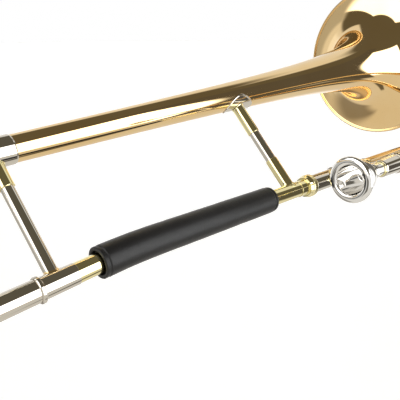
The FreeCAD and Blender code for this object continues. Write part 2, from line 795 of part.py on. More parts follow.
def make_outer_slide():
    for name, leg in (("lower", LOWER), ("upper", UPPER)):
        tube(f"{name}_outer_tube", leg, "outer_start", "bow_station",
             "outer_radius", "outer_bore")
        turned(f"{name}_hand_sleeve", leg, [
            ("hand_brace_station - hand_sleeve_half", "outer_radius"),
            ("hand_brace_station + hand_sleeve_half", "outer_radius"),
            ("hand_brace_station + hand_sleeve_half", "hand_sleeve_outer - 0.4"),
            ("hand_brace_station + hand_sleeve_half - 1", "hand_sleeve_outer"),
            ("hand_brace_station - hand_sleeve_half + 1", "hand_sleeve_outer"),
            ("hand_brace_station - hand_sleeve_half", "hand_sleeve_outer - 0.4"),
        ])
        turned(f"{name}_bow_ferrule", leg, [
            ("bow_ferrule_start", "outer_radius"),
            ("bow_station", "outer_radius"),
            ("bow_station", "bow_ferrule_outer - 0.3"),
            ("bow_station - 1", "bow_ferrule_outer"),
            ("bow_ferrule_start + 1", "bow_ferrule_outer"),
            ("bow_ferrule_start", "bow_ferrule_outer - 0.3"),
        ])
    slide_brace("hand_brace", "sockets", "hand_brace_station", "hand_sleeve_outer",
                "hand_rod_radius", "hand_rod_radius + 1.9", "9")
    middle = SLIDE * spot(0, 0, value("slide_gap") / 2)
    half_ring("slide_bow", middle * spot(value("bow_station"), 0, 0), "slide_gap / 2",
              "outer_radius", "outer_bore", False)
    tip = "bow_station + slide_gap / 2 + outer_radius"
    socket = turned("bumper_socket", middle, [
        (f"{tip} - 3", "0"),
        (f"{tip} + 2.4", "0"),
        (f"{tip} + 2.4", "bumper_radius - 0.8"),
        (f"{tip} - 3", "bumper_radius + 0.6"),
    ])
    document.recompute()
    seat = new_sketch(socket, "XY_Plane", "seat")
    draw_circle(seat, "bow_station + slide_gap / 2", "0", "outer_radius")
    hollow = socket.newObject("PartDesign::Pocket", "bumper_socket_cut")
    hollow.Profile = seat
    hollow.Type = "Length"
    hollow.Length = 40
    hollow.Midplane = True
    turned("slide_bumper", middle, [
        (f"{tip} + 2.4", "0"),
        (f"{tip} + bumper_height", "0"),
        (f"{tip} + bumper_height", "bumper_radius - 2.5"),
        (f"{tip} + bumper_height - 1.8", "bumper_radius - 0.6"),
        (f"{tip} + 5", "bumper_radius"),
        (f"{tip} + 2.4", "bumper_radius"),
    ])


def make_water_key():
    """Drain nipple under the lower bow ferrule, pivot saddle, lever, cork, spring and screw."""
    nipple = SLIDE * spot(value("key_station"), 0, 0)
    sleeve_post("water_key_nipple", nipple, "key_nipple_low", "-7.8",
                "key_nipple_radius", "key_nipple_bore", [("0", "bow_ferrule_outer")])
    pivot = SLIDE * spot(value("key_station - key_pivot_back"), 0, value("key_pivot_low"))
    saddle = new_body("water_key_saddle", pivot)
    sketch = new_sketch(saddle, "YZ_Plane", "block")
    wide = "(key_post_gap + key_post_sheet)"
    draw_outline(sketch, [
        (f"-{wide}", "-2.6"),
        ("-key_post_gap", "-2.6"),
        ("-key_post_gap", "3.9"),
        ("key_post_gap", "3.9"),
        ("key_post_gap", "-2.6"),
        (wide, "-2.6"),
        (wide, "7.5"),
        (f"-{wide}", "7.5"),
    ])
    block = saddle.newObject("PartDesign::Pad", "water_key_saddle_block")
    block.Profile = sketch
    block.Length = 6
    block.Midplane = True
    document.recompute()
    seat = new_sketch(saddle, "YZ_Plane", "seat")
    draw_circle(seat, "0", "-key_pivot_low", "bow_ferrule_outer")
    cut = saddle.newObject("PartDesign::Pocket", "water_key_saddle_seat")
    cut.Profile = seat
    cut.Type = "Length"
    cut.Length = 20
    cut.Midplane = True
    document.recompute()
    hole = new_sketch(saddle, "XZ_Plane", "hole")
    draw_circle(hole, "0", "0", "key_pin_radius")
    drill = saddle.newObject("PartDesign::Pocket", "water_key_saddle_hole")
    drill.Profile = hole
    drill.Type = "Length"
    drill.Length = 20
    drill.Midplane = True
    across = pivot * turn(AXIS_Z, 90)
    head = f"{wide} + 1.2"
    turned("water_key_screw", across, [
        (f"-{wide}", "0"),
        (head, "0"),
        (head, "key_pin_radius + 1"),
        (wide, "key_pin_radius + 1"),
        (wide, "key_pin_radius"),
        (f"-{wide}", "key_pin_radius"),
    ])
    tube("water_key_spring", across, "-1.5", "1.5", "key_pin_radius + 0.8", "key_pin_radius + 0.05")
    make_key_lever(pivot, across)


def make_key_lever(pivot, across):
    """Two knuckles on the pin, an arm forward to the cork cup and a thumb plate to the rear."""
    back = "key_pivot_back"
    knuckles = tube("water_key_lever", across, "-key_post_gap + free_gap",
                    "key_post_gap - free_gap", "key_pin_radius + 1.7", "key_pin_radius + running")
    document.recompute()
    # The lever's own Y runs to the rear, because its X lies along the pin.
    arm = new_sketch(knuckles, "XY_Plane", "arm")
    draw_outline(arm, [
        ("-3.4", "30"),
        ("3.4", "30"),
        ("3.4", "2"),
        ("-3.4", "2"),
    ])
    arm.AttachmentOffset = spot(0, 0, -2.7)
    plate = knuckles.newObject("PartDesign::Pad", "water_key_lever_plate")
    plate.Profile = arm
    plate.Length = 1.6
    document.recompute()
    front = new_sketch(knuckles, "XY_Plane", "front")
    draw_outline(front, [
        ("-3", "-2"),
        ("3", "-2"),
        ("3", f"-{back}"),
        ("-3", f"-{back}"),
    ])
    front.AttachmentOffset = spot(0, 0, -2.7)
    bar = knuckles.newObject("PartDesign::Pad", "water_key_lever_bar")
    bar.Profile = front
    bar.Length = 1.6
    document.recompute()
    cup = new_sketch(knuckles, "XY_Plane", "cup")
    draw_circle(cup, "0", f"-{back}", "key_cup_radius")
    cup.AttachmentOffset = spot(0, 0, -2.7)
    rim = knuckles.newObject("PartDesign::Pad", "water_key_lever_cup")
    rim.Profile = cup
    rim.Length = 1.6
    document.recompute()
    slot = new_sketch(knuckles, "XY_Plane", "spring_slot")
    draw_outline(slot, [("-1.9", "-3.2"), ("1.9", "-3.2"), ("1.9", "3.2"), ("-1.9", "3.2")])
    window = knuckles.newObject("PartDesign::Pocket", "water_key_lever_window")
    window.Profile = slot
    window.Type = "Length"
    window.Length = 12
    window.Midplane = True
    post("water_key_cork", pivot * spot(value(back), 0, 0), [[
        ("0", "-1.1"),
        ("key_cup_radius - 0.4", "-1.1"),
        ("key_cup_radius - 0.4", "key_nipple_low - key_pivot_low - 0.04"),
        ("0", "key_nipple_low - key_pivot_low - 0.04"),
    ]])


def make_lock_stud():
    """Small stud on the outer slide that the lock ring holds when the slide is closed."""
    station = LOWER * turn(AXIS_X, -35) * spot(value("barrel_end + 4"), 0, 0)
    post("lock_stud", station, [[
        ("0", "outer_radius - 0.2"),
        ("stud_radius", "outer_radius - 0.2"),
        ("stud_radius", "lock_outer - 0.4"),
        ("stud_radius - 0.5", "lock_outer + 0.1"),
        ("0", "lock_outer + 0.1"),
    ]], [("0", "outer_radius")])


def export():
    document.recompute()
    for item in document.Objects:
        if "Invalid" in item.State or "Error" in item.State:
            raise RuntimeError(f"{item.Name}: {item.State}")
    for node in nodes:
        if node.Shape.isNull() or not node.Shape.isValid():
            raise RuntimeError(f"{node.Label}: bad shape")
    os.makedirs("parts", exist_ok=True)
    for node in nodes:
        node.Shape.exportStep(f"parts/{node.Label}.step")
        solids = len(node.Shape.Solids)
        print(f"{node.Label:28s} {node.Shape.Volume:10.1f} mm3  {solids} solid(s)")
    print(len(nodes), "nodes")


make_bell()
make_bell_leg()
make_neck_leg()
make_rear_brace()
make_front_brace()
make_guard()
make_receiver()
make_lock_nut()
make_tuning_slide()
make_inner_slide()
make_mouthpiece_side()
make_lock_ring()
make_outer_slide()
make_lock_stud()
make_water_key()
export()
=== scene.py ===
"""The looks of a tenor trombone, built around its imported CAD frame.

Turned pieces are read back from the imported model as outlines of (station, radius) corners and
turned again in high resolution with rounded edges.  Lengths are in metres.
"""

import json
import math

import bmesh
import bpy
from mathutils import Matrix, Vector, noise


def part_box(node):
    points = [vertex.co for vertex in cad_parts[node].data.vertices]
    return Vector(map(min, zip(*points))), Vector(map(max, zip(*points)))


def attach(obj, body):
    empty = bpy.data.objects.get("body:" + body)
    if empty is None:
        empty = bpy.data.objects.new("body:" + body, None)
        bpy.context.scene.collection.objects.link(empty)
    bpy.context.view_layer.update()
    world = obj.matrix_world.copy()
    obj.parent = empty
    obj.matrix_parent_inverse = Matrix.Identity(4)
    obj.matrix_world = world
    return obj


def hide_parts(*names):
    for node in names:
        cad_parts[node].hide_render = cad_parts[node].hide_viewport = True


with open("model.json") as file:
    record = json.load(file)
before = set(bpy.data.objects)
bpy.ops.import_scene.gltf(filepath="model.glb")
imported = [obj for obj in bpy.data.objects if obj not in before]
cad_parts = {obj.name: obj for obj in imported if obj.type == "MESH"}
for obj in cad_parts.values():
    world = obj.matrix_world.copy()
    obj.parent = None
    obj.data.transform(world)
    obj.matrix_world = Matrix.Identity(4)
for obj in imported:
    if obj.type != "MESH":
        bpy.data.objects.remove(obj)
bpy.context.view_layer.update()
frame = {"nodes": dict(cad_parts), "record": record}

MM = 0.001
TURN = 2 * math.pi
MOUNTS = {mount["name"]: mount for mount in frame["record"]["mounts"]}
BODY_OF = {node: body
           for body, nodes in frame["record"]["behaviour"]["bodies"].items()
           for node in nodes}


# ---------------------------------------------------------------- frames of the two sections

def axes_frame(origin, along, up):
    """A frame with its X along a tube and its Z as near to up as it can be."""
    x = Vector(along).normalized()
    y = Vector(up).cross(x).normalized()
    z = x.cross(y)
    matrix = Matrix((x, y, z)).transposed().to_4x4()
    matrix.translation = Vector(origin)
    return matrix


def shift(matrix, x=0.0, y=0.0, z=0.0):
    return matrix @ Matrix.Translation((x, y, z))


SLIDE_UP = Vector(MOUNTS["right_hand_brace"]["axis"])
SLIDE_GAP = 2 * Vector(MOUNTS["right_hand_brace"]["pos_m"]).dot(SLIDE_UP)
LOWER = axes_frame((0, 0, 0), (1, 0, 0), SLIDE_UP)
UPPER = shift(LOWER, z=SLIDE_GAP)
MIDDLE = shift(LOWER, z=SLIDE_GAP / 2)

BELL_AXIS = Vector(MOUNTS["bell_mouth"]["axis"])
BELL_MOUTH = Vector(MOUNTS["bell_mouth"]["pos_m"])
BELL_UP = (BELL_MOUTH - BELL_AXIS * BELL_MOUTH.dot(BELL_AXIS)).normalized()
NECK = axes_frame((0, 0, 0), (1, 0, 0), BELL_UP)
RIM_STATION = 565.4 * MM
BELL = axes_frame(BELL_MOUTH - BELL_AXIS * RIM_STATION, BELL_AXIS, BELL_UP)
LEG_GAP = 102.4 * MM               # between the bell stem and the neckpipe
NECK_LEG = shift(BELL, z=-LEG_GAP)
TILT = BELL_AXIS.angle(Vector((1, 0, 0)))
BEND_STATION = 60.6 * MM           # middle of the neckpipe's bend, and half its length
BEND_HALF = 22.5 * MM
NUT_STATION = 283.4 * MM           # the lock nut, counted along the neckpipe


# ---------------------------------------------------------------- outlines

def outline_of(node, axis, near=0.03 * MM):
    """The closed outline of a turned CAD node, as (station, radius) corners in order."""
    mesh = frame["nodes"][node].data
    back = axis.inverted()
    corners = []
    belongs = []
    for vertex in mesh.vertices:
        place = back @ vertex.co
        spot = (place.x, math.hypot(place.y, place.z))
        for index, corner in enumerate(corners):
            if abs(corner[0] - spot[0]) < near and abs(corner[1] - spot[1]) < near:
                belongs.append(index)
                break
        else:
            belongs.append(len(corners))
            corners.append(spot)
    links = {index: set() for index in range(len(corners))}
    for edge in mesh.edges:
        first, second = (belongs[index] for index in edge.vertices)
        if first != second:
            links[first].add(second)
            links[second].add(first)
    ends = [index for index in links if len(links[index]) == 1]
    current = ends[0] if ends else 0
    order = [current]
    previous = None
    while True:
        following = [index for index in links[current] if index != previous and index not in order]
        if not following:
            break
        previous = current
        current = following[0]
        order.append(current)
    outline = [corners[index] for index in order]
    if ends:
        outline = [(outline[0][0], 0.0)] + outline + [(outline[-1][0], 0.0)]
    return outline


def rounded(corners, radius, steps=4, support=0.12 * MM):
    """The outline with each corner turned into an arc, and a support point beside each arc."""
    points = []
    count = len(corners)
    for index, corner in enumerate(corners):
        here = Vector(corner)
        before = Vector(corners[index - 1]) - here
        after = Vector(corners[(index + 1) % count]) - here
        on_axis = corner[1] < 1e-6
        turn = math.pi - before.angle(after, 0.0) if before.length and after.length else 0.0
        if on_axis or turn < math.radians(1.5):
            points.append(here)
            continue
        size = radius[index] if isinstance(radius, (list, tuple)) else radius
        trim = min(size * math.tan(turn / 2) if turn < 2.6 else size, size,
                   0.46 * before.length, 0.46 * after.length)
        start = here + before.normalized() * trim
        end = here + after.normalized() * trim
        reach = trim / max(math.tan(turn / 2), 1e-6)
        centre = here + (before.normalized() + after.normalized()).normalized() * math.hypot(
            trim, reach)
        lead = min(support, 0.96 * (0.5 * before.length - trim))
        tail = min(support, 0.96 * (0.5 * after.length - trim))
        points.append(start + before.normalized() * lead)
        first = start - centre
        second = end - centre
        sweep = first.angle_signed(second) if first.length and second.length else 0.0
        for step in range(steps + 1):
            angle = -sweep * step / steps
            cosine = math.cos(angle)
            sine = math.sin(angle)
            points.append(centre + Vector((first.x * cosine - first.y * sine,
                                           first.x * sine + first.y * cosine)))
        points.append(end + after.normalized() * tail)
    return [(point.x, point.y) for point in points]


def area(outline):
    total = 0.0
    for index, (x, y) in enumerate(outline):
        next_x, next_y = outline[(index + 1) % len(outline)]
        total += x * next_y - next_x * y
    return total / 2


# ---------------------------------------------------------------- meshes

def mesh_from(builder, name):
    """The finished mesh, its normals turned outward."""
    mesh = bpy.data.meshes.new(name)
    bmesh.ops.recalc_face_normals(builder, faces=builder.faces)
    builder.to_mesh(mesh)
    builder.free()
    return mesh


def bridge(builder, first, second):
    """Four-sided faces between two closed rings of equal count."""
    count = len(first)
    for step in range(count):
        after = (step + 1) % count
        builder.faces.new((first[step], first[after], second[after], second[step]))


def finish_mesh(name, mesh, material, body, replaces=()):
    for polygon in mesh.polygons:
        polygon.use_smooth = True
    mesh.materials.clear()
    mesh.materials.append(material)
    piece = bpy.data.objects.new(name, mesh)
    bpy.context.scene.collection.objects.link(piece)
    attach(piece, body)
    if replaces:
        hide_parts(*replaces)
    return piece


def swept_mesh(name, outline, place, segments):
    """Rings of the outline: place(station, radius, angle) gives each point.  Closed round."""
    if area(outline) > 0:
        outline = outline[::-1]
    builder = bmesh.new()
    rings = []
    for station, radius in outline:
        if radius < 1e-6:
            rings.append([builder.verts.new(place(station, 0.0, 0.0))])
            continue
        rings.append([builder.verts.new(place(station, radius, TURN * step / segments))
                      for step in range(segments)])
    for index, ring in enumerate(rings):
        following = rings[(index + 1) % len(rings)]
        if len(ring) == 1 and len(following) == 1:
            continue
        for step in range(segments):
            after = (step + 1) % segments
            if len(ring) == 1:
                builder.faces.new((ring[0], following[after], following[step]))
            elif len(following) == 1:
                builder.faces.new((ring[step], ring[after], following[0]))
            else:
                builder.faces.new((ring[step], ring[after], following[after], following[step]))
    return mesh_from(builder, name)


def straight(axis):
    def place(station, radius, angle):
        return axis @ Vector((station, radius * math.sin(angle), radius * math.cos(angle)))
    return place


def along_arc(centre, ring):
    """Stations run along a half circle in the frame's XZ plane, from +Z over +X to -Z."""
    def place(station, radius, angle):
        turn = station / ring
        reach = ring + radius * math.cos(angle)
        return centre @ Vector((reach * math.sin(turn), radius * math.sin(angle),
                                reach * math.cos(turn)))
    return place


def neck_point(station):
    """Centre and direction angle of the neckpipe at a station along the neck leg."""
    bend_radius = BEND_HALF / math.tan(TILT / 2)
    begin = BEND_STATION - BEND_HALF
    if station <= begin:
        return Vector((station, 0, 0)), 0.0
    along = (station - begin) / bend_radius
    if along < TILT:
        return Vector((begin + bend_radius * math.sin(along), 0,
                       -bend_radius * (1 - math.cos(along)))), along
    rest = station - begin - TILT * bend_radius
    corner = Vector((begin + bend_radius * math.sin(TILT), 0,
                     -bend_radius * (1 - math.cos(TILT))))
    return corner + Vector((math.cos(TILT), 0, -math.sin(TILT))) * rest, TILT


def along_neck(station, radius, angle):
    centre, lean = neck_point(station)
    side = Vector((0, 1, 0)) * (radius * math.sin(angle))
    up = Vector((math.sin(lean), 0, math.cos(lean))) * (radius * math.cos(angle))
    return NECK_LEG @ (centre + side + up)


def divided(outline, longest):
    """The same outline with its long stretches cut into shorter ones."""
    points = []
    for index, (x, y) in enumerate(outline):
        next_x, next_y = outline[(index + 1) % len(outline)]
        points.append((x, y))
        count = int(math.hypot(next_x - x, next_y - y) / longest)
        for step in range(1, count + 1):
            share = step / (count + 1)
            points.append((x + (next_x - x) * share, y + (next_y - y) * share))
    return points


def turned(node, axis, material, edge=0.15 * MM, segments=96, steps=4):
    """The CAD node turned again with rounded edges; it stands for the node."""
    outline = rounded(outline_of(node, axis), edge, steps)
    mesh = swept_mesh(node + "_turned", outline, straight(axis), segments)
    return finish_mesh(node + "_turned", mesh, material, BODY_OF[node], (node,))


# ---------------------------------------------------------------- materials

FINISH = "finish_"


def new_material(name):
    material = bpy.data.materials.new(FINISH + name)
    material.use_nodes = True
    shader = material.node_tree.nodes["Principled BSDF"]
    return material, material.node_tree, shader


def add(tree, kind, **settings):
    node = tree.nodes.new(kind)
    for key, setting in settings.items():
        setattr(node, key, setting)
    return node


def set_inputs(node, **settings):
    for key, setting in settings.items():
        node.inputs[key.replace("_", " ")].default_value = setting


def noise_node(tree, scale, detail=3.0, stretch=(1, 1, 1)):
    """Noise in object coordinates, in metres, stretched along the axes."""
    place = add(tree, "ShaderNodeTexCoord")
    mapping = add(tree, "ShaderNodeMapping")
    mapping.inputs["Scale"].default_value = stretch
    tree.links.new(place.outputs["Object"], mapping.inputs["Vector"])
    texture = add(tree, "ShaderNodeTexNoise")
    texture.inputs["Scale"].default_value = scale
    texture.inputs["Detail"].default_value = detail
    tree.links.new(mapping.outputs["Vector"], texture.inputs["Vector"])
    return texture


def ramp(tree, source, stops):
    node = add(tree, "ShaderNodeValToRGB")
    elements = node.color_ramp.elements
    while len(elements) < len(stops):
        elements.new(0.5)
    for element, (position, colour) in zip(elements, stops):
        element.position = position
        element.color = (*colour, 1.0)
    tree.links.new(source, node.inputs["Fac"])
    return node


def ranged(tree, source, low, high):
    node = add(tree, "ShaderNodeMapRange")
    node.inputs["To Min"].default_value = low
    node.inputs["To Max"].default_value = high
    tree.links.new(source, node.inputs["Value"])
    return node


def add_bump(tree, shader, source, strength, distance):
    """Surface relief of the shader from a height output."""
    bump = add(tree, "ShaderNodeBump")
    bump.inputs["Strength"].default_value = strength
    bump.inputs["Distance"].default_value = distance
    tree.links.new(source, bump.inputs["Height"])
    tree.links.new(bump.outputs["Normal"], shader.inputs["Normal"])


def metal(name, deep, bright, smooth, rough, coat=0.0):
    """Polished metal: slow tone change, patchy polish and fine hairlines along the tubes."""
    material, tree, shader = new_material(name)
    tone = noise_node(tree, 18.0, 4.0)
    colour = ramp(tree, tone.outputs["Fac"], [(0.30, deep), (0.72, bright)])
    tree.links.new(colour.outputs["Color"], shader.inputs["Base Color"])
    polish = noise_node(tree, 240.0, 5.0, (0.25, 1, 1))
    spread = ranged(tree, polish.outputs["Fac"], smooth, rough)
    tree.links.new(spread.outputs["Result"], shader.inputs["Roughness"])
    lines = noise_node(tree, 2600.0, 2.0, (0.04, 1, 1))
    add_bump(tree, shader, lines.outputs["Fac"], 0.02, 0.00002)
    shader.inputs["Metallic"].default_value = 1.0
    shader.inputs["Coat Weight"].default_value = coat
    shader.inputs["Coat Roughness"].default_value = 0.03
    return material


def leather(name):
    """Black grained leather: small pebbles, pores between them, and a slow change of gloss."""
    material, tree, shader = new_material(name)
    place = add(tree, "ShaderNodeTexCoord")
    pebbles = add(tree, "ShaderNodeTexVoronoi", feature="SMOOTH_F1")
    set_inputs(pebbles, Scale=1500.0, Smoothness=0.6, Randomness=1.0)
    tree.links.new(place.outputs["Object"], pebbles.inputs["Vector"])
    creases = noise_node(tree, 320.0, 6.0)
    mix = add(tree, "ShaderNodeMath", operation="MULTIPLY_ADD")
    mix.inputs[1].default_value = 0.55
    tree.links.new(pebbles.outputs["Distance"], mix.inputs[0])
    tree.links.new(creases.outputs["Fac"], mix.inputs[2])
    add_bump(tree, shader, mix.outputs["Value"], 0.42, 0.00035)
    wear = noise_node(tree, 60.0, 4.0)
    colour = ramp(tree, wear.outputs["Fac"],
                  [(0.30, (0.004, 0.004, 0.0045)), (0.75, (0.009, 0.0088, 0.009))])
    tree.links.new(colour.outputs["Color"], shader.inputs["Base Color"])
    gloss = ranged(tree, creases.outputs["Fac"], 0.36, 0.48)
    tree.links.new(gloss.outputs["Result"], shader.inputs["Roughness"])
    shader.inputs["Specular IOR Level"].default_value = 0.42
    shader.inputs["Sheen Weight"].default_value = 0.03
    return material


def soft(name, deep, bright, scale, roughness, bump_height):
    """Felt, tape, cork and rubber: a mottled colour over a fine rough bump."""
    material, tree, shader = new_material(name)
    mottle = noise_node(tree, scale, 6.0)
    colour = ramp(tree, mottle.outputs["Fac"], [(0.32, deep), (0.70, bright)])
    tree.links.new(colour.outputs["Color"], shader.inputs["Base Color"])
    fine = noise_node(tree, scale * 4, 4.0)
    add_bump(tree, shader, fine.outputs["Fac"], 0.5, bump_height)
    shader.inputs["Roughness"].default_value = roughness
    shader.inputs["Sheen Weight"].default_value = 0.2
    return material


GOLD = metal("lacquered_gold_brass", (0.88, 0.63, 0.31), (0.92, 0.69, 0.37), 0.03, 0.06, 0.3)
BRASS = metal("yellow_brass", (0.89, 0.79, 0.42), (0.94, 0.85, 0.50), 0.03, 0.06, 0.2)
NICKEL = metal("nickel_silver", (0.69, 0.65, 0.575), (0.75, 0.71, 0.635), 0.03, 0.06)
CHROME = metal("chrome_tube", (0.60, 0.61, 0.62), (0.66, 0.67, 0.68), 0.03, 0.06)
SILVER = metal("silver_plate", (0.86, 0.845, 0.82), (0.91, 0.90, 0.88), 0.02, 0.05)
STEEL = metal("steel", (0.42, 0.42, 0.43), (0.52, 0.52, 0.53), 0.16, 0.28)
LEATHER = leather("black_leather")
FELT = soft("lining_felt", (0.006, 0.006, 0.006), (0.016, 0.015, 0.015), 900.0, 0.95, 0.0004)
TAPE = soft("hook_tape", (0.010, 0.010, 0.011), (0.025, 0.025, 0.027), 1400.0, 0.85, 0.0003)
CORK = soft("cork", (0.30, 0.17, 0.08), (0.52, 0.34, 0.19), 700.0, 0.85, 0.0003)
RUBBER = soft("black_rubber", (0.012, 0.012, 0.013), (0.020, 0.020, 0.021), 300.0, 0.6, 0.0001)


# ---------------------------------------------------------------- bell

RIM_RADIUS = 102.5 * MM
FLARE_LEAD = 13.5 * MM
FLARE_POWER = 0.61
BELL_START = -8 * MM
WALL = 0.5 * MM
TUBE_EDGE = 0.05 * MM
BEAD = 1.6 * MM


def horn_radius(station):
    return RIM_RADIUS * (FLARE_LEAD / (RIM_STATION + FLARE_LEAD - station)) ** FLARE_POWER


def make_bell():
    """The flare as a formula curve, its edge rolled round the rim wire."""
    bead_ring = RIM_RADIUS - BEAD
    full = RIM_STATION + FLARE_LEAD
    far = full - BELL_START
    near = FLARE_LEAD * (RIM_RADIUS / bead_ring) ** (1 / FLARE_POWER)
    outside = []
    inside = []
    count = 120
    for index in range(count + 1):
        reach = far * (near / far) ** (index / count)
        station = full - reach
        radius = horn_radius(station)
        slope = FLARE_POWER * radius / reach
        lean = math.hypot(1, slope)
        outside.append((station, radius))
        inside.append((station + WALL * slope / lean, radius - WALL / lean))
    centre = inside[-1][0] - BEAD
    roll = []
    for step in range(19):
        turn = math.radians(-14 + step * 15)
        roll.append((centre + BEAD * math.cos(turn), bead_ring + BEAD * math.sin(turn)))
    outline = outside[:-1] + roll[::-1] + inside[::-1][1:]
    mesh = swept_mesh("bell_flare", outline, straight(BELL), 192)
    finish_mesh("bell_flare", mesh, GOLD, "bell_section", ("bell",))


# ---------------------------------------------------------------- straight turned pieces

def make_turned_pieces():
    groups = (
        (BELL, (("bell_ferrule", NICKEL), ("bell_sleeve", NICKEL), ("bell_sleeve_ring", NICKEL),
                ("tuning_bell_leg", NICKEL), ("tuning_bell_leg_ferrule", NICKEL))),
        (NECK_LEG, (("neck_sleeve", NICKEL), ("neck_sleeve_ring", NICKEL),
                    ("neck_ferrule", NICKEL), ("tuning_neck_leg", NICKEL),
                    ("tuning_neck_leg_ferrule", NICKEL))),
        (NECK, (("slide_receiver", BRASS),)),
        (LOWER, (("slide_tenon", BRASS), ("lower_barrel", NICKEL), ("lower_inner_tube", CHROME),
                 ("lower_outer_tube", GOLD), ("lower_hand_sleeve", NICKEL),
                 ("lower_bow_ferrule", NICKEL))),
        (UPPER, (("upper_barrel", NICKEL), ("upper_inner_tube", CHROME),
                 ("upper_outer_tube", GOLD), ("upper_hand_sleeve", NICKEL),
                 ("upper_bow_ferrule", NICKEL), ("mouthpiece_receiver", NICKEL),
                 ("leadpipe", BRASS))),
    )
    for axis, nodes in groups:
        for node, material in nodes:
            turned(node, axis, material)
    turned("neck_bead_ring", NECK_LEG, NICKEL, 0.6 * MM)
    turned("receiver_ring", UPPER, BRASS, 0.4 * MM)
    turned("slide_bumper", MIDDLE, RUBBER, 1.2 * MM)


def ring_outline(start, end, outer, inner, edge=0.12 * MM):
    return rounded([(start, inner), (end, inner), (end, outer), (start, outer)], edge)


def bow_outline(ring, outer):
    """Half a turn of tube bent to a circle of radius ring."""
    tube = ring_outline(0.0, math.pi * ring, outer, outer - WALL, TUBE_EDGE)
    return divided(tube, 1.6 * MM)


def make_bows():
    """The hand slide's bow and the tuning crook."""
    bow_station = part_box("lower_outer_tube")[1].x
    ring = SLIDE_GAP / 2
    outline = bow_outline(ring, 8 * MM)
    mesh = swept_mesh("slide_bow_tube", outline, along_arc(shift(MIDDLE, x=bow_station), ring), 80)
    finish_mesh("slide_bow_tube", mesh, GOLD, "outer_slide", ("slide_bow",))
    crook_station = -98 * MM
    ring = LEG_GAP / 2
    centre = shift(BELL, x=crook_station, z=-ring) @ Matrix.Rotation(math.pi, 4, "Z")
    outline = bow_outline(ring, 8.7 * MM)
    mesh = swept_mesh("tuning_crook_tube", outline, along_arc(centre, ring), 80)
    finish_mesh("tuning_crook_tube", mesh, GOLD, "tuning_slide", ("tuning_crook",))


make_bell()
make_turned_pieces()
make_bows()


# ---------------------------------------------------------------- neckpipe and hand guard

NECK_OUTER = 7.6 * MM
GUARD_START = 32.6 * MM
GUARD_LENGTH = 186.8 * MM
GUARD_OUTER = 12.25 * MM
GUARD_INNER = 10.75 * MM
LINING_INSET = 4 * MM
FLAP_SHEET = 1.1 * MM
HEM = 2.7 * MM
MOUTH = 9.3 * MM


def make_neckpipe():
    """The bent tube between the tuning slide's sleeve and the lock nut's receiver."""
    start = -10.9 * MM
    end = NUT_STATION - 21.9 * MM
    outline = divided(ring_outline(start, end, NECK_OUTER, NECK_OUTER - WALL, TUBE_EDGE), 3 * MM)
    mesh = swept_mesh("neckpipe_tube", outline, along_neck, 96)
    finish_mesh("neckpipe_tube", mesh, BRASS, "bell_section", ("neckpipe",))


def guard_ripple(point):
    """Slow unevenness of the leather, from a place in the frame."""
    return noise.noise(point * 55.0) * 0.16 * MM + noise.noise(point * 160.0) * 0.05 * MM


def make_guard():
    """Leather cover: a soft hem behind a groove at each end, and a slow unevenness."""
    start = GUARD_START
    end = GUARD_START + GUARD_LENGTH
    skin = GUARD_OUTER
    groove = 0.75 * MM
    corners = [
        (start + HEM + 0.6 * MM, GUARD_INNER), (end - HEM - 0.6 * MM, GUARD_INNER),
        (end - HEM, MOUTH), (end, MOUTH), (end + 0.2 * MM, skin - 0.5 * MM),
        (end - HEM, skin - 0.25 * MM), (end - HEM - 0.2 * MM, skin - groove),
        (end - HEM - 0.9 * MM, skin - groove), (end - HEM - 1.9 * MM, skin),
        (start + HEM + 1.7 * MM, skin), (start + HEM + 0.9 * MM, skin - groove),
        (start + HEM + 0.2 * MM, skin - groove), (start + HEM, skin - 0.15 * MM),
        (start, skin - 0.1 * MM), (start, MOUTH), (start + HEM, MOUTH),
    ]
    radii = [0.4 * MM, 0.4 * MM, 0.4 * MM, 0.9 * MM, 1.1 * MM, 0.5 * MM, 0.15 * MM, 0.15 * MM,
             0.8 * MM, 0.8 * MM, 0.15 * MM, 0.15 * MM, 0.5 * MM, 0.9 * MM, 0.9 * MM, 0.4 * MM]
    outline = divided(rounded(corners, radii, 5, 0.1 * MM), 1.2 * MM)

    def place(station, radius, angle):
        point = along_neck(station, radius, angle)
        if radius > GUARD_INNER + 0.9 * MM:
            point = along_neck(station, radius + guard_ripple(point), angle)
        return point

    mesh = swept_mesh("guard_leather", outline, place, 160)
    guard = finish_mesh("guard_leather", mesh, LEATHER, "bell_section", ("leather_guard",))
    inset = LINING_INSET
    outline = divided(rounded([
        (start + inset, NECK_OUTER + 0.05 * MM), (end - inset, NECK_OUTER + 0.05 * MM),
        (end - inset, GUARD_INNER - 0.1 * MM), (start + inset, GUARD_INNER - 0.1 * MM),
    ], 0.9 * MM), 4 * MM)
    mesh = swept_mesh("guard_padding", outline, along_neck, 64)
    padding = finish_mesh("guard_padding", mesh, FELT, "bell_section", ("guard_lining",))


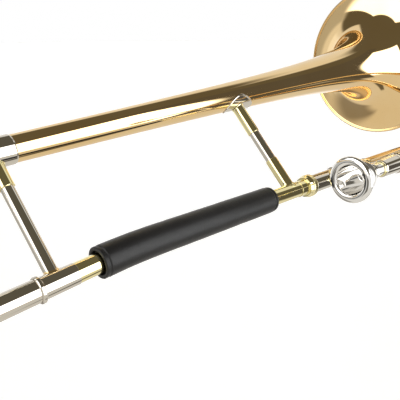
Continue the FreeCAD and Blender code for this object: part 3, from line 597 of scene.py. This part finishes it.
def make_guard_flap():
    """Closing strap pressed on the guard: rounded ends and a row of stitches round its margin."""
    node = frame["nodes"]["guard_flap"]
    inverse = NECK.inverted()
    corners = [vertex.co for vertex in node.data.vertices]
    stations = [(inverse @ corner).x for corner in corners]
    start, end = min(stations), max(stations)
    angles = [math.atan2((inverse @ corner).y, (inverse @ corner).z) for corner in corners]
    middle = outward(NECK, corners)
    spread = max(abs(math.remainder(angle - middle, TURN)) for angle in angles)
    half_length = (end - start) / 2
    half_width = GUARD_OUTER * spread
    corner_radius = 4.5 * MM
    margin = 2.3 * MM
    pitch = 3.4 * MM

    def inset(x, y):
        """How far a point is inside the rounded outline."""
        dx = max(abs(x) - half_length + corner_radius, 0.0)
        dy = max(abs(y) - half_width + corner_radius, 0.0)
        if dx > 0 and dy > 0:
            return corner_radius - math.hypot(dx, dy)
        return min(half_length - abs(x), half_width - abs(y))

    def height(x, y):
        depth = max(inset(x, y), 0.0)
        edge = min(depth / (0.9 * MM), 1.0)
        lift = FLAP_SHEET * (0.25 + 0.75 * math.sqrt(max(1 - (1 - edge) ** 2, 0.0)))
        seam = math.exp(-((depth - margin) / (0.42 * MM)) ** 2)
        run = x if half_width - abs(y) <= half_length - abs(x) else y
        stitch = 0.5 + 0.5 * math.cos(TURN * run / pitch)
        lift -= seam * (0.42 - 0.5 * min(1.6 * stitch, 1.0)) * MM
        return lift + noise.noise(Vector((x, y, 0.0)) * 240.0) * 0.05 * MM

    builder = bmesh.new()
    columns = 300
    rows = 44
    top = []
    low = []
    for column in range(columns + 1):
        x = -half_length + 2 * half_length * column / columns
        past = max(abs(x) - half_length + corner_radius, 0.0)
        reach = half_width - corner_radius + math.sqrt(max(corner_radius ** 2 - past ** 2, 0.0))
        upper_row = []
        lower_row = []
        for row in range(rows + 1):
            y = reach * (2 * row / rows - 1)
            angle = middle + y / GUARD_OUTER
            station = (start + end) / 2 + x
            for ring, radius in ((upper_row, GUARD_OUTER + height(x, y)),
                                 (lower_row, GUARD_OUTER - 0.3 * MM)):
                spot = Vector((station, radius * math.sin(angle), radius * math.cos(angle)))
                ring.append(builder.verts.new(NECK @ spot))
        top.append(upper_row)
        low.append(lower_row)
    for sheet in (top, low):
        for before, after in zip(sheet, sheet[1:]):
            for row in range(rows):
                builder.faces.new((before[row], before[row + 1], after[row + 1], after[row]))
    for before, after in zip(range(columns), range(1, columns + 1)):
        for row in (0, rows):
            builder.faces.new((top[before][row], top[after][row],
                               low[after][row], low[before][row]))
    for column in (0, columns):
        for row in range(rows):
            builder.faces.new((top[column][row], top[column][row + 1],
                               low[column][row + 1], low[column][row]))
    mesh = mesh_from(builder, "guard_strap")
    strap = finish_mesh("guard_strap", mesh, TAPE, "bell_section", ("guard_flap",))


# ---------------------------------------------------------------- braces

FRONT_STATION = 252.1 * MM
FRONT_DROP = 116.8 * MM
SADDLE_SHEET = 0.8 * MM
SEAT_GAP = 0.02 * MM               # clearance where pieces meet, so faces never coincide
ROD_WALL = 0.9 * MM
FILLET = ((0.75 * MM, 0.0), (0.34 * MM, 0.12 * MM), (0.12 * MM, 0.34 * MM), (0.0, 0.75 * MM))


def supported(rings, gap=0.5 * MM):
    """The same rings, with one more near each end of a long straight run, so it shades evenly."""
    made = [rings[0]]
    for before, after in zip(rings, rings[1:]):
        same = before[2] == after[2] and abs(before[1] - after[1]) < 4 * gap
        if not same and abs(before[0] - after[0]) < 0.01 * MM:
            side = after_side(before, after)
            made.append((before[0], before[1] + side[0] * gap, before[2]))
            made.append((after[0], after[1] - side[1] * gap, after[2]))
        made.append(after)
    return made


def after_side(before, after):
    """Which way, +1 or -1, each ring's own height runs from the first ring to the second."""
    def level(ring):
        if not ring[2]:
            return ring[1]
        centre, tube, side = ring[2]
        return centre + side * (tube + ring[1])

    way = 1 if level(after) > level(before) else -1
    return (way * (before[2][2] if before[2] else 1), way * (after[2][2] if after[2] else 1))


def post_mesh(name, frame_of, rings, bore, segments=96):
    """Rings turned about local Z.  A ring is (radius, height, seat): with a seat (centre height,
    tube radius, side) the ring follows that tube's surface, and its height is measured from it."""
    profile = supported(rings)
    if bore:
        profile += [(bore, height, seat) for radius, height, seat in (rings[-1], rings[0])]
    builder = bmesh.new()
    made = []
    for radius, height, seat in profile:
        ring = []
        for step in range(segments):
            angle = TURN * step / segments
            x = radius * math.cos(angle)
            y = radius * math.sin(angle)
            z = height
            if seat:
                centre, tube, side = seat
                z = centre + side * (math.sqrt(max(tube ** 2 - y ** 2, 0.0)) + height)
            ring.append(builder.verts.new(frame_of @ Vector((x, y, z))))
        made.append(ring)
    pairs = list(zip(made, made[1:]))
    if bore:
        pairs.append((made[-1], made[0]))
    for lower, upper in pairs:
        bridge(builder, lower, upper)
    if not bore:
        builder.faces.new(made[0])
        builder.faces.new(made[-1])
    return mesh_from(builder, name)


def seated(radius, seat):
    """Rings of a small solder fillet between a post and the tube it stands on."""
    return [(radius + wide, high - 0.03 * MM, seat) for wide, high in FILLET]


def lip(radius, height, side, edge=0.35 * MM):
    """Rings of a rounded free end at a height; side is +1 where the body lies above it."""
    rings = []
    for step in range(6):
        turn = math.pi / 2 * step / 5
        rings.append((radius - edge + edge * math.sin(turn),
                      height + side * edge * (1 - math.cos(turn)), None))
    rings.append((radius, height + side * (edge + 0.15 * MM), None))
    return rings


def post(name, frame_of, rings, bore, material, replaced):
    mesh = post_mesh(name, frame_of, rings, bore)
    return finish_mesh(name, mesh, material, BODY_OF[replaced], (replaced,))


def make_bell_braces():
    ferrule = (0.0, 11.2 * MM, -1)
    neck_seat = (-LEG_GAP, 7.95 * MM, 1)
    sleeve = 5.9 * MM
    rod = 5.0 * MM
    low = -28.5 * MM
    post("rear_sleeve", BELL, seated(sleeve, ferrule) + lip(sleeve, low, 1)[::-1],
         rod + SEAT_GAP, BRASS, "rear_brace_sleeve")
    post("rear_rod", BELL, seated(rod, neck_seat) + [(rod, low + 4 * MM, None)],
         rod - ROD_WALL, NICKEL, "rear_brace_rod")
    foot = [(rod + 1.1 * MM, -0.03 * MM, neck_seat), (rod + 0.75 * MM, 0.12 * MM, neck_seat),
            (rod + 0.4 * MM, 0.34 * MM, neck_seat), (rod + 0.18 * MM, 0.7 * MM, neck_seat),
            (rod + 0.06 * MM, 1.2 * MM, neck_seat)]
    post("rear_solder_foot", BELL, foot, rod + SEAT_GAP, GOLD, "rear_brace_foot")
    stand = shift(BELL, x=FRONT_STATION)
    saddle = (0.0, horn_radius(FRONT_STATION) + SADDLE_SHEET, -1)
    neck_saddle = (-FRONT_DROP, NECK_OUTER + SADDLE_SHEET, 1)
    sleeve = 6.05 * MM
    rod = 5.3 * MM
    post("front_upper_sleeve", stand, seated(sleeve, saddle) + lip(sleeve, -46.3 * MM, 1)[::-1],
         rod + SEAT_GAP, BRASS, "front_brace_upper_sleeve")
    post("front_lower_sleeve", stand,
         seated(sleeve, neck_saddle) + lip(sleeve, -78.7 * MM, -1)[::-1],
         rod + SEAT_GAP, BRASS, "front_brace_lower_sleeve")
    post("front_rod", stand, [(rod, -80.7 * MM, None), (rod, -78 * MM, None),
                              (rod, -47 * MM, None), (rod, -44.3 * MM, None)],
         rod - ROD_WALL, NICKEL, "front_brace_rod")


def make_tuning_brace():
    stand = shift(BELL, x=-86.9 * MM)
    rod = 3.6 * MM
    wide = rod + 1.6 * MM
    upper = (0.0, 10.84 * MM, -1)
    lower = (-LEG_GAP, 8.84 * MM, 1)
    rings = seated(wide, upper) + [
        (wide, -12.6 * MM, None), (wide, -13 * MM, None), (wide - 0.3 * MM, -13.8 * MM, None),
        (rod + 0.3 * MM, -16.2 * MM, None), (rod, -17 * MM, None), (rod, -18 * MM, None),
        (rod, -LEG_GAP + 16 * MM, None), (rod, -LEG_GAP + 15 * MM, None),
        (rod + 0.3 * MM, -LEG_GAP + 14.3 * MM, None), (wide - 0.3 * MM, -LEG_GAP + 11.8 * MM, None),
        (wide, -LEG_GAP + 11 * MM, None), (wide, -LEG_GAP + 10.5 * MM, None),
    ] + seated(wide, lower)[::-1]
    post("tuning_slide_brace", stand, rings, rod - 1.2 * MM, NICKEL, "tuning_brace")


def make_slide_brace(prefix, nodes, station, seat, rod, socket, height):
    """A rod between the slide tubes, and a stepped socket on each of them."""
    stand = shift(LOWER, x=station)
    low = (0.0, seat, 1)
    high = (SLIDE_GAP, seat, -1)
    top = seat + height
    post(prefix + "_rod_turned", stand,
         [(rod, 0.6 * MM, low), (rod, 3 * MM, low), (rod, 3 * MM, high), (rod, 0.6 * MM, high)],
         rod - ROD_WALL, NICKEL, nodes[0])
    step = top - 4 * MM
    cup = [(socket, step - 0.5 * MM, None), (socket, step, None),
           (socket - 0.25 * MM, step + 0.3 * MM, None), (rod + 1.3 * MM, step + 1.1 * MM, None),
           (rod + 0.9 * MM, step + 1.6 * MM, None), (rod + 0.75 * MM, top - 0.3 * MM, None),
           (rod + 0.6 * MM, top, None)]
    lower = seated(socket, low) + cup
    upper = [(radius, offset, high if ring_seat else None) if ring_seat
             else (radius, SLIDE_GAP - offset, None) for radius, offset, ring_seat in lower]
    for end, rings, replaced in (("lower", lower, nodes[1:]), ("upper", upper, ())):
        mesh = post_mesh(f"{prefix}_{end}_socket", stand, rings, rod + SEAT_GAP)
        finish_mesh(f"{prefix}_{end}_socket", mesh, BRASS, BODY_OF[nodes[0]], replaced)


# ---------------------------------------------------------------- saddles

def patch_mesh(name, frame_of, tube_radius, half, across, heights, segments=96):
    """An oval sheet saddle on a tube along X, on its -Z side.  heights lists (distance from the
    edge, height over the tube); the last one holds to the middle."""
    def surface(x, y, lift):
        radius = tube_radius(x) + lift
        return Vector((x, y, -math.sqrt(max(radius ** 2 - y ** 2, 0.0))))

    samples = 160
    builder = bmesh.new()
    field = [share / 7 for share in range(1, 7)]
    rings = [[] for _ in range(len(heights) + len(field))]
    under = [[] for _ in rings]
    for step in range(segments):
        angle = TURN * step / segments
        trail = [surface(half * (1 - index / samples) * math.cos(angle),
                         across * (1 - index / samples) * math.sin(angle), 0.0)
                 for index in range(samples + 1)]
        gone = [0.0]
        for first, second in zip(trail, trail[1:]):
            gone.append(gone[-1] + (second - first).length)
        last_distance, last_lift = heights[-1]
        wanted = heights + [(last_distance + (gone[-1] - last_distance) * share, last_lift)
                            for share in field]
        for index, (distance, lift) in enumerate(wanted):
            spot = next(place for place in range(samples) if gone[place + 1] >= distance
                        or place == samples - 1)
            part = (distance - gone[spot]) / max(gone[spot + 1] - gone[spot], 1e-9)
            share = 1 - (spot + part) / samples
            x = half * share * math.cos(angle)
            y = across * share * math.sin(angle)
            rings[index].append(builder.verts.new(frame_of @ surface(x, y, lift)))
            under[index].append(builder.verts.new(frame_of @ surface(x, y, SEAT_GAP)))
    crown = builder.verts.new(frame_of @ surface(0, 0, heights[-1][1]))
    base = builder.verts.new(frame_of @ surface(0, 0, SEAT_GAP))
    for sheet, middle in ((rings, crown), (under, base)):
        for outer, inner in zip(sheet, sheet[1:]):
            bridge(builder, outer, inner)
        for step in range(segments):
            builder.faces.new((sheet[-1][step], sheet[-1][(step + 1) % segments], middle))
    bridge(builder, rings[0], under[0])
    return mesh_from(builder, name)


def make_saddles():
    stand = shift(BELL, x=FRONT_STATION)
    sheet = SADDLE_SHEET
    rim = [(0.0, 0.25 * sheet), (0.1 * MM, 0.7 * sheet), (0.25 * MM, 0.95 * sheet),
           (0.45 * MM, 1.05 * sheet), (0.7 * MM, 1.05 * sheet), (0.9 * MM, 0.9 * sheet),
           (1.1 * MM, 0.7 * sheet), (1.4 * MM, 0.61 * sheet), (2.0 * MM, 0.60 * sheet)]
    mesh = patch_mesh("bell_saddle_plate", stand, lambda x: horn_radius(FRONT_STATION + x),
                      19.5 * MM, 13.2 * MM, rim)
    finish_mesh("bell_saddle_plate", mesh, NICKEL, "bell_section", ("bell_saddle",))
    foot = shift(NECK, x=FRONT_STATION - NUT_STATION) @ Matrix.Rotation(math.pi, 4, "X")
    rim = [(0.0, 0.3 * sheet), (0.2 * MM, 0.75 * sheet), (0.5 * MM, 0.95 * sheet),
           (1.0 * MM, sheet)]
    mesh = patch_mesh("neck_saddle_plate", foot, lambda x: NECK_OUTER, 8.4 * MM, 7.3 * MM,
                      rim)
    finish_mesh("neck_saddle_plate", mesh, BRASS, "bell_section", ("neck_saddle",))


# ---------------------------------------------------------------- lock nut and lock ring

def ribbed(axis, depth, inner_limit, first, last, ramp_length):
    """A straight placement whose outer skin dips by depth(angle) between two stations."""
    def place(station, radius, angle):
        if radius > inner_limit:
            fade = min(max((station - first) / ramp_length, 0.0), 1.0)
            fade *= min(max((last - station) / ramp_length, 0.0), 1.0)
            radius -= depth(angle) * fade
        return axis @ Vector((station, radius * math.sin(angle), radius * math.cos(angle)))
    return place


def knurl(teeth, deep):
    """Depth of a fine knurl round a ring."""
    return lambda angle: deep * (0.5 + 0.5 * math.cos(angle * teeth)) ** 2


def make_lock_nut():
    """Rear cone, a round knurled shoulder, and the front lip that holds the tenon."""
    shoulder = 11.5 * MM
    corners = [
        (-12 * MM, 9.55 * MM), (-3.15 * MM, 9.55 * MM), (-3.15 * MM, 8.45 * MM),
        (-0.8 * MM, 8.45 * MM), (-0.8 * MM, shoulder - 1.0 * MM), (-2.2 * MM, shoulder),
        (-7.0 * MM, shoulder), (-8.6 * MM, shoulder - 1.0 * MM), (-12 * MM, 9.95 * MM),
    ]
    radii = [0.1 * MM, 0.1 * MM, 0.1 * MM, 0.3 * MM, 1.2 * MM, 1.4 * MM, 1.4 * MM,
             1.5 * MM, 0.2 * MM]
    outline = divided(rounded(corners, radii, 6), 0.5 * MM)
    place = ribbed(NECK, knurl(72, 0.10 * MM), shoulder - 0.25 * MM, -7.2 * MM, -2.0 * MM,
                   0.7 * MM)
    mesh = swept_mesh("lock_nut_turned", outline, place, 576)
    finish_mesh("lock_nut_turned", mesh, BRASS, "lock_nut", ("lock_nut",))


def make_lock_ring():
    low = 41 * MM
    high = 50 * MM
    outer = 10.9 * MM
    corners = [(low, 9.8 * MM), (high, 9.8 * MM), (high, outer - 0.1 * MM),
               (high - 1.2 * MM, outer), (high - 1.6 * MM, outer - 0.5 * MM),
               (low + 1.6 * MM, outer - 0.5 * MM), (low + 1.2 * MM, outer), (low, outer - 0.1 * MM)]
    outline = divided(rounded(corners, 0.25 * MM, 4, 0.08 * MM), 0.5 * MM)
    place = ribbed(LOWER, knurl(60, 0.16 * MM), outer - 0.8 * MM, low + 1.9 * MM,
                   high - 1.9 * MM, 0.3 * MM)
    mesh = swept_mesh("lock_ring_turned", outline, place, 480)
    finish_mesh("lock_ring_turned", mesh, NICKEL, "lock_ring", ("slide_lock_ring",))


def stacked_mesh(name, place, levels, samples=48, squareness=5.0):
    """Rounded-square rings (height, half length, half width) stacked up, closed at both ends."""
    builder = bmesh.new()
    rings = []
    for height, half, across in levels:
        ring = []
        for step in range(samples):
            angle = TURN * step / samples
            along = math.copysign(abs(math.cos(angle)) ** (2 / squareness), math.cos(angle))
            aside = math.copysign(abs(math.sin(angle)) ** (2 / squareness), math.sin(angle))
            ring.append(builder.verts.new(place(half * along, across * aside, height)))
        rings.append(ring)
    for lower, upper in zip(rings, rings[1:]):
        bridge(builder, lower, upper)
    builder.faces.new(rings[0])
    builder.faces.new(rings[-1])
    return mesh_from(builder, name)


def outward(axis, corners):
    """Mean angle round the axis of the points, counted as in a straight placement."""
    inverse = axis.inverted()
    local = [inverse @ corner for corner in corners]
    return math.atan2(sum(point.y for point in local), sum(point.z for point in local))


def make_lock_lug():
    """Thumb lug on the lock ring, crowned and rounded, where the frame's ring has it."""
    inverse = LOWER.inverted()
    corners = [vertex.co for vertex in frame["nodes"]["slide_lock_ring"].data.vertices
               if math.hypot((inverse @ vertex.co).y, (inverse @ vertex.co).z) > 12 * MM]
    angle = outward(LOWER, corners)
    tilt = LOWER @ Matrix.Rotation(-angle, 4, "X")
    levels = [(10.0 * MM, 3.2 * MM, 2.5 * MM), (10.5 * MM, 3.1 * MM, 2.4 * MM),
              (11.2 * MM, 2.95 * MM, 2.2 * MM), (12.4 * MM, 2.9 * MM, 2.05 * MM)]
    for step in range(1, 9):
        turn = math.pi / 2 * step / 8.5
        shoulder = 1.2 * MM * math.cos(turn)
        levels.append((12.8 * MM + 1.35 * MM * math.sin(turn), 1.7 * MM + shoulder,
                       0.85 * MM + shoulder))

    def place(along, aside, height):
        return tilt @ Vector((45.5 * MM + along, aside, height))

    mesh = stacked_mesh("lock_ring_lug", place, levels)
    finish_mesh("lock_ring_lug", mesh, NICKEL, "lock_ring")


# ---------------------------------------------------------------- mouthpiece

def curve_through(points, steps=7):
    """A smooth line through the points (Catmull-Rom), open at both ends."""
    line = []
    for index in range(len(points) - 1):
        first = Vector(points[max(index - 1, 0)])
        start = Vector(points[index])
        end = Vector(points[index + 1])
        last = Vector(points[min(index + 2, len(points) - 1)])
        for step in range(steps):
            t = step / steps
            spot = 0.5 * (2 * start + (end - first) * t
                          + (2 * first - 5 * start + 4 * end - last) * t ** 2
                          + (3 * start - first - 3 * end + last) * t ** 3)
            line.append((spot.x, spot.y))
    line.append(tuple(points[-1]))
    return line


def make_mouthpiece():
    """Rounded rim, deep bowl, throat and backbore inside; a bowl and a tapered shank outside."""
    rim = -60.0
    cup = [(rim + 1.9 + 22.3 * math.sin(turn) ** 1.06, 3.3 + 9.25 * math.cos(turn) ** 0.9)
           for turn in (math.radians(degrees) for degrees in range(78, -1, -3))]
    inside = [(rim + 28.4, 3.25), (rim + 26.8, 3.45), (rim + 25.3, 4.1)] + cup
    crown = [(rim + 0.95, 13.0), (rim + 0.35, 13.8), (rim + 0.0, 15.2), (rim + 0.15, 16.8),
             (rim + 0.8, 18.3), (rim + 1.9, 19.25), (rim + 3.2, 19.5), (rim + 4.5, 19.1),
             (rim + 5.5, 18.1), (rim + 6.3, 17.0)]
    bowl = [(rim + 7.6, 16.5), (rim + 10.5, 16.25), (rim + 14.5, 15.6), (rim + 19, 14.1),
            (rim + 23.5, 11.6), (rim + 27.3, 8.9), (rim + 30.2, 7.1), (rim + 33, 6.3),
            (rim + 34.6, 6.25), (rim + 35.2, 6.7), (rim + 36.0, 6.85), (rim + 36.8, 6.7),
            (rim + 37.4, 6.1), (rim + 39, 5.85), (rim + 46, 5.75), (rim + 52, 5.69)]
    shank = [(12.5, 5.16), (14.1, 5.12), (14.5, 4.9), (14.5, 4.6), (14.2, 4.5)]
    bore = [(0, 3.9), (-24, 3.25), (rim + 29.2, 3.2)]
    skin = curve_through(inside + crown + bowl, 4)
    points = skin + [(9.0, 5.24)] + shank + bore
    outline = [(station * MM, radius * MM) for station, radius in points]
    mesh = swept_mesh("mouthpiece_turned", outline, straight(UPPER), 160)
    finish_mesh("mouthpiece_turned", mesh, SILVER, "mouthpiece", ("mouthpiece",))


# ---------------------------------------------------------------- frame nodes that stay

def dress(node, material, width=0.0):
    """A finish, and rounded edges, on a frame node that stays."""
    part = frame["nodes"][node]
    part.data.materials.clear()
    part.data.materials.append(material)
    if width:
        bevel = part.modifiers.new("edges", "BEVEL")
        bevel.width = width
        bevel.segments = 3
        bevel.limit_method = "ANGLE"
        bevel.angle_limit = math.radians(35)
        bevel.harden_normals = True


make_neckpipe()
make_guard()
make_bell_braces()
make_tuning_brace()
make_slide_brace("hand_brace", ("hand_brace_rod", "hand_brace_sockets"), 92 * MM, 8.8 * MM,
                 5 * MM, 6.9 * MM, 9 * MM)
make_slide_brace("inner_brace", ("inner_brace_rod", "inner_brace_flanges"), 31 * MM, 9.45 * MM,
                 4.8 * MM, 7.4 * MM, 7 * MM)
make_saddles()
make_lock_nut()
make_lock_ring()
make_lock_lug()
make_guard_flap()
make_mouthpiece()
for kept, finish, edge in (
        ("cork_bumpers", CORK, 0.2), ("bumper_socket", NICKEL, 0.2), ("lock_stud", STEEL, 0.15),
        ("water_key_nipple", BRASS, 0.1), ("water_key_saddle", BRASS, 0.15),
        ("water_key_screw", STEEL, 0.15), ("water_key_spring", STEEL, 0.0),
        ("water_key_lever", NICKEL, 0.15), ("water_key_cork", CORK, 0.3),
        ("rim_wire", STEEL, 0.0)):
    dress(kept, finish, edge * MM)


# ---------------------------------------------------------------- stage, light and camera

def stage_material(name, colour, roughness):
    material, tree, shader = new_material(name)
    grain = noise_node(tree, 6.0, 3.0)
    tone = ramp(tree, grain.outputs["Fac"], [(0.3, [c * 0.985 for c in colour]), (0.7, colour)])
    tree.links.new(tone.outputs["Color"], shader.inputs["Base Color"])
    shader.inputs["Roughness"].default_value = roughness
    shader.inputs["Emission Color"].default_value = (1.0, 1.0, 1.0, 1.0)
    shader.inputs["Emission Strength"].default_value = 0.3
    return material


def make_floor():
    bpy.ops.mesh.primitive_plane_add(size=60.0, location=(0.2, 0, -0.75))
    floor = bpy.context.object
    floor.name = "stage_floor"
    floor.data.materials.append(stage_material("stage_paper", (0.93, 0.93, 0.93), 0.9))
    floor.visible_glossy = False


# Patches of light and dark all round, the later ones in front: azimuth of the middle from +X
# towards +Y, half width, lowest and highest elevation, softness of the edge (degrees), light.
# They were fitted to the reflections seen in the picture; no real studio was measured.
STUDIO = (
    (0, 200, 20, 200, 2.0, (0.130, 0.116, 0.084)),      # dark overhead
    (0, 200, -25, 20, 4.0, (0.86, 0.84, 0.80)),         # pale band all round
    (34, 46, -15, 45, 3.0, (0.86, 0.84, 0.79)),         # pale area, far side
    (48, 52, -30, 14, 3.0, (1.06, 1.06, 1.06)),         # paler area lower down, far side
    (-70, 26, -22, 39, 1.5, (3.6, 3.6, 3.6)),           # large bright patch, near side
    (-37, 7, -28, 48, 1.5, (0.11, 0.10, 0.085)),        # dark strip beside it
    (-22, 8, -20, 18, 2.0, (1.3, 1.3, 1.28)),           # bright strip beyond that
    (-23, 8, -33, -20, 2.0, (0.12, 0.11, 0.09)),        # dark below the bright strip
    (2, 14, -7, 28, 3.0, (0.15, 0.14, 0.12)),           # dark patch towards +X
    (162, 36, 4, 58, 1.5, (2.8, 2.8, 2.8)),             # large bright patch, far side
    (136, 22, -26, 22, 4.0, (0.52, 0.51, 0.48)),        # grey below and beside that
    (178, 15, -31, -6, 3.0, (0.15, 0.14, 0.12)),        # low dark patch towards -X
    (-38, 8, -61, -42, 3.0, (0.15, 0.135, 0.105)),      # low dark patch, near side
    (105, 32, -68, -32, 8.0, (0.30, 0.28, 0.25)),       # shade under the far side
)
FLOOR_LIGHT = (0.76, 0.73, 0.67)


def compute(tree, operation, first, second=0.0):
    """One maths node; each side is a socket or a plain number."""
    node = add(tree, "ShaderNodeMath", operation=operation)
    for socket, side in zip(node.inputs, (first, second)):
        if isinstance(side, (int, float)):
            socket.default_value = side
        else:
            tree.links.new(side, socket)
    return node.outputs["Value"]


def between(tree, source, low, high, edge):
    """1 where the source lies between two numbers, with soft edges."""
    ends = []
    for limit, first, last in ((low, 0.0, 1.0), (high, 1.0, 0.0)):
        node = add(tree, "ShaderNodeMapRange", interpolation_type="SMOOTHSTEP")
        node.inputs["From Min"].default_value = limit - edge
        node.inputs["From Max"].default_value = limit + edge
        node.inputs["To Min"].default_value = first
        node.inputs["To Max"].default_value = last
        tree.links.new(source, node.inputs["Value"])
        ends.append(node.outputs["Result"])
    return compute(tree, "MULTIPLY", *ends)


def make_world():
    """The patches as light for the metal; behind the floor the camera sees plain white."""
    world = bpy.data.worlds.new("studio")
    bpy.context.scene.world = world
    world.use_nodes = True
    tree = world.node_tree
    place = add(tree, "ShaderNodeTexCoord")
    split = add(tree, "ShaderNodeSeparateXYZ")
    tree.links.new(place.outputs["Generated"], split.inputs["Vector"])
    ahead, across, up = split.outputs
    height = compute(tree, "ARCSINE", up)
    light = None
    for middle, half, low, high, edge, colour in STUDIO:
        cosine = math.cos(math.radians(middle))
        sine = math.sin(math.radians(middle))
        along = compute(tree, "ADD", compute(tree, "MULTIPLY", ahead, cosine),
                        compute(tree, "MULTIPLY", across, sine))
        aside = compute(tree, "SUBTRACT", compute(tree, "MULTIPLY", across, cosine),
                        compute(tree, "MULTIPLY", ahead, sine))
        turn = compute(tree, "ABSOLUTE", compute(tree, "ARCTAN2", aside, along))
        soft = math.radians(edge)
        covers = compute(tree, "MULTIPLY",
                         between(tree, turn, -1.0, math.radians(half), soft),
                         between(tree, height, math.radians(low), math.radians(high), soft))
        mix = add(tree, "ShaderNodeMix", data_type="RGBA")
        tree.links.new(covers, mix.inputs["Factor"])
        if light:
            tree.links.new(light, mix.inputs[6])
        else:
            mix.inputs[6].default_value = (*FLOOR_LIGHT, 1.0)
        mix.inputs[7].default_value = (*colour, 1.0)
        light = mix.outputs[2]
    seen = add(tree, "ShaderNodeLightPath").outputs["Is Camera Ray"]
    plain = add(tree, "ShaderNodeMix", data_type="RGBA")
    tree.links.new(seen, plain.inputs["Factor"])
    tree.links.new(light, plain.inputs[6])
    plain.inputs[7].default_value = (1.0, 1.0, 1.0, 1.0)
    tree.links.new(plain.outputs[2], tree.nodes["Background"].inputs["Color"])


def make_camera():
    camera = bpy.data.cameras.new("camera")
    camera.lens = 43.5
    camera.sensor_width = 36.0
    camera.clip_start = 0.02
    camera.clip_end = 30.0
    holder = bpy.data.objects.new("camera", camera)
    bpy.context.scene.collection.objects.link(holder)
    right = Vector((0.74442813, -0.66764638, -0.00866407))
    forward = Vector((0.6255567, 0.70191762, -0.34057373))
    upward = Vector((0.23346428, 0.2481128, 0.94017789))
    matrix = Matrix((right, upward, -forward)).transposed().to_4x4()
    matrix.translation = Vector((-0.40075, -0.27797, 0.15616))
    holder.matrix_world = matrix
    bpy.context.scene.camera = holder


make_floor()
make_world()
make_camera()
bpy.context.scene.view_settings.view_transform = "Standard"
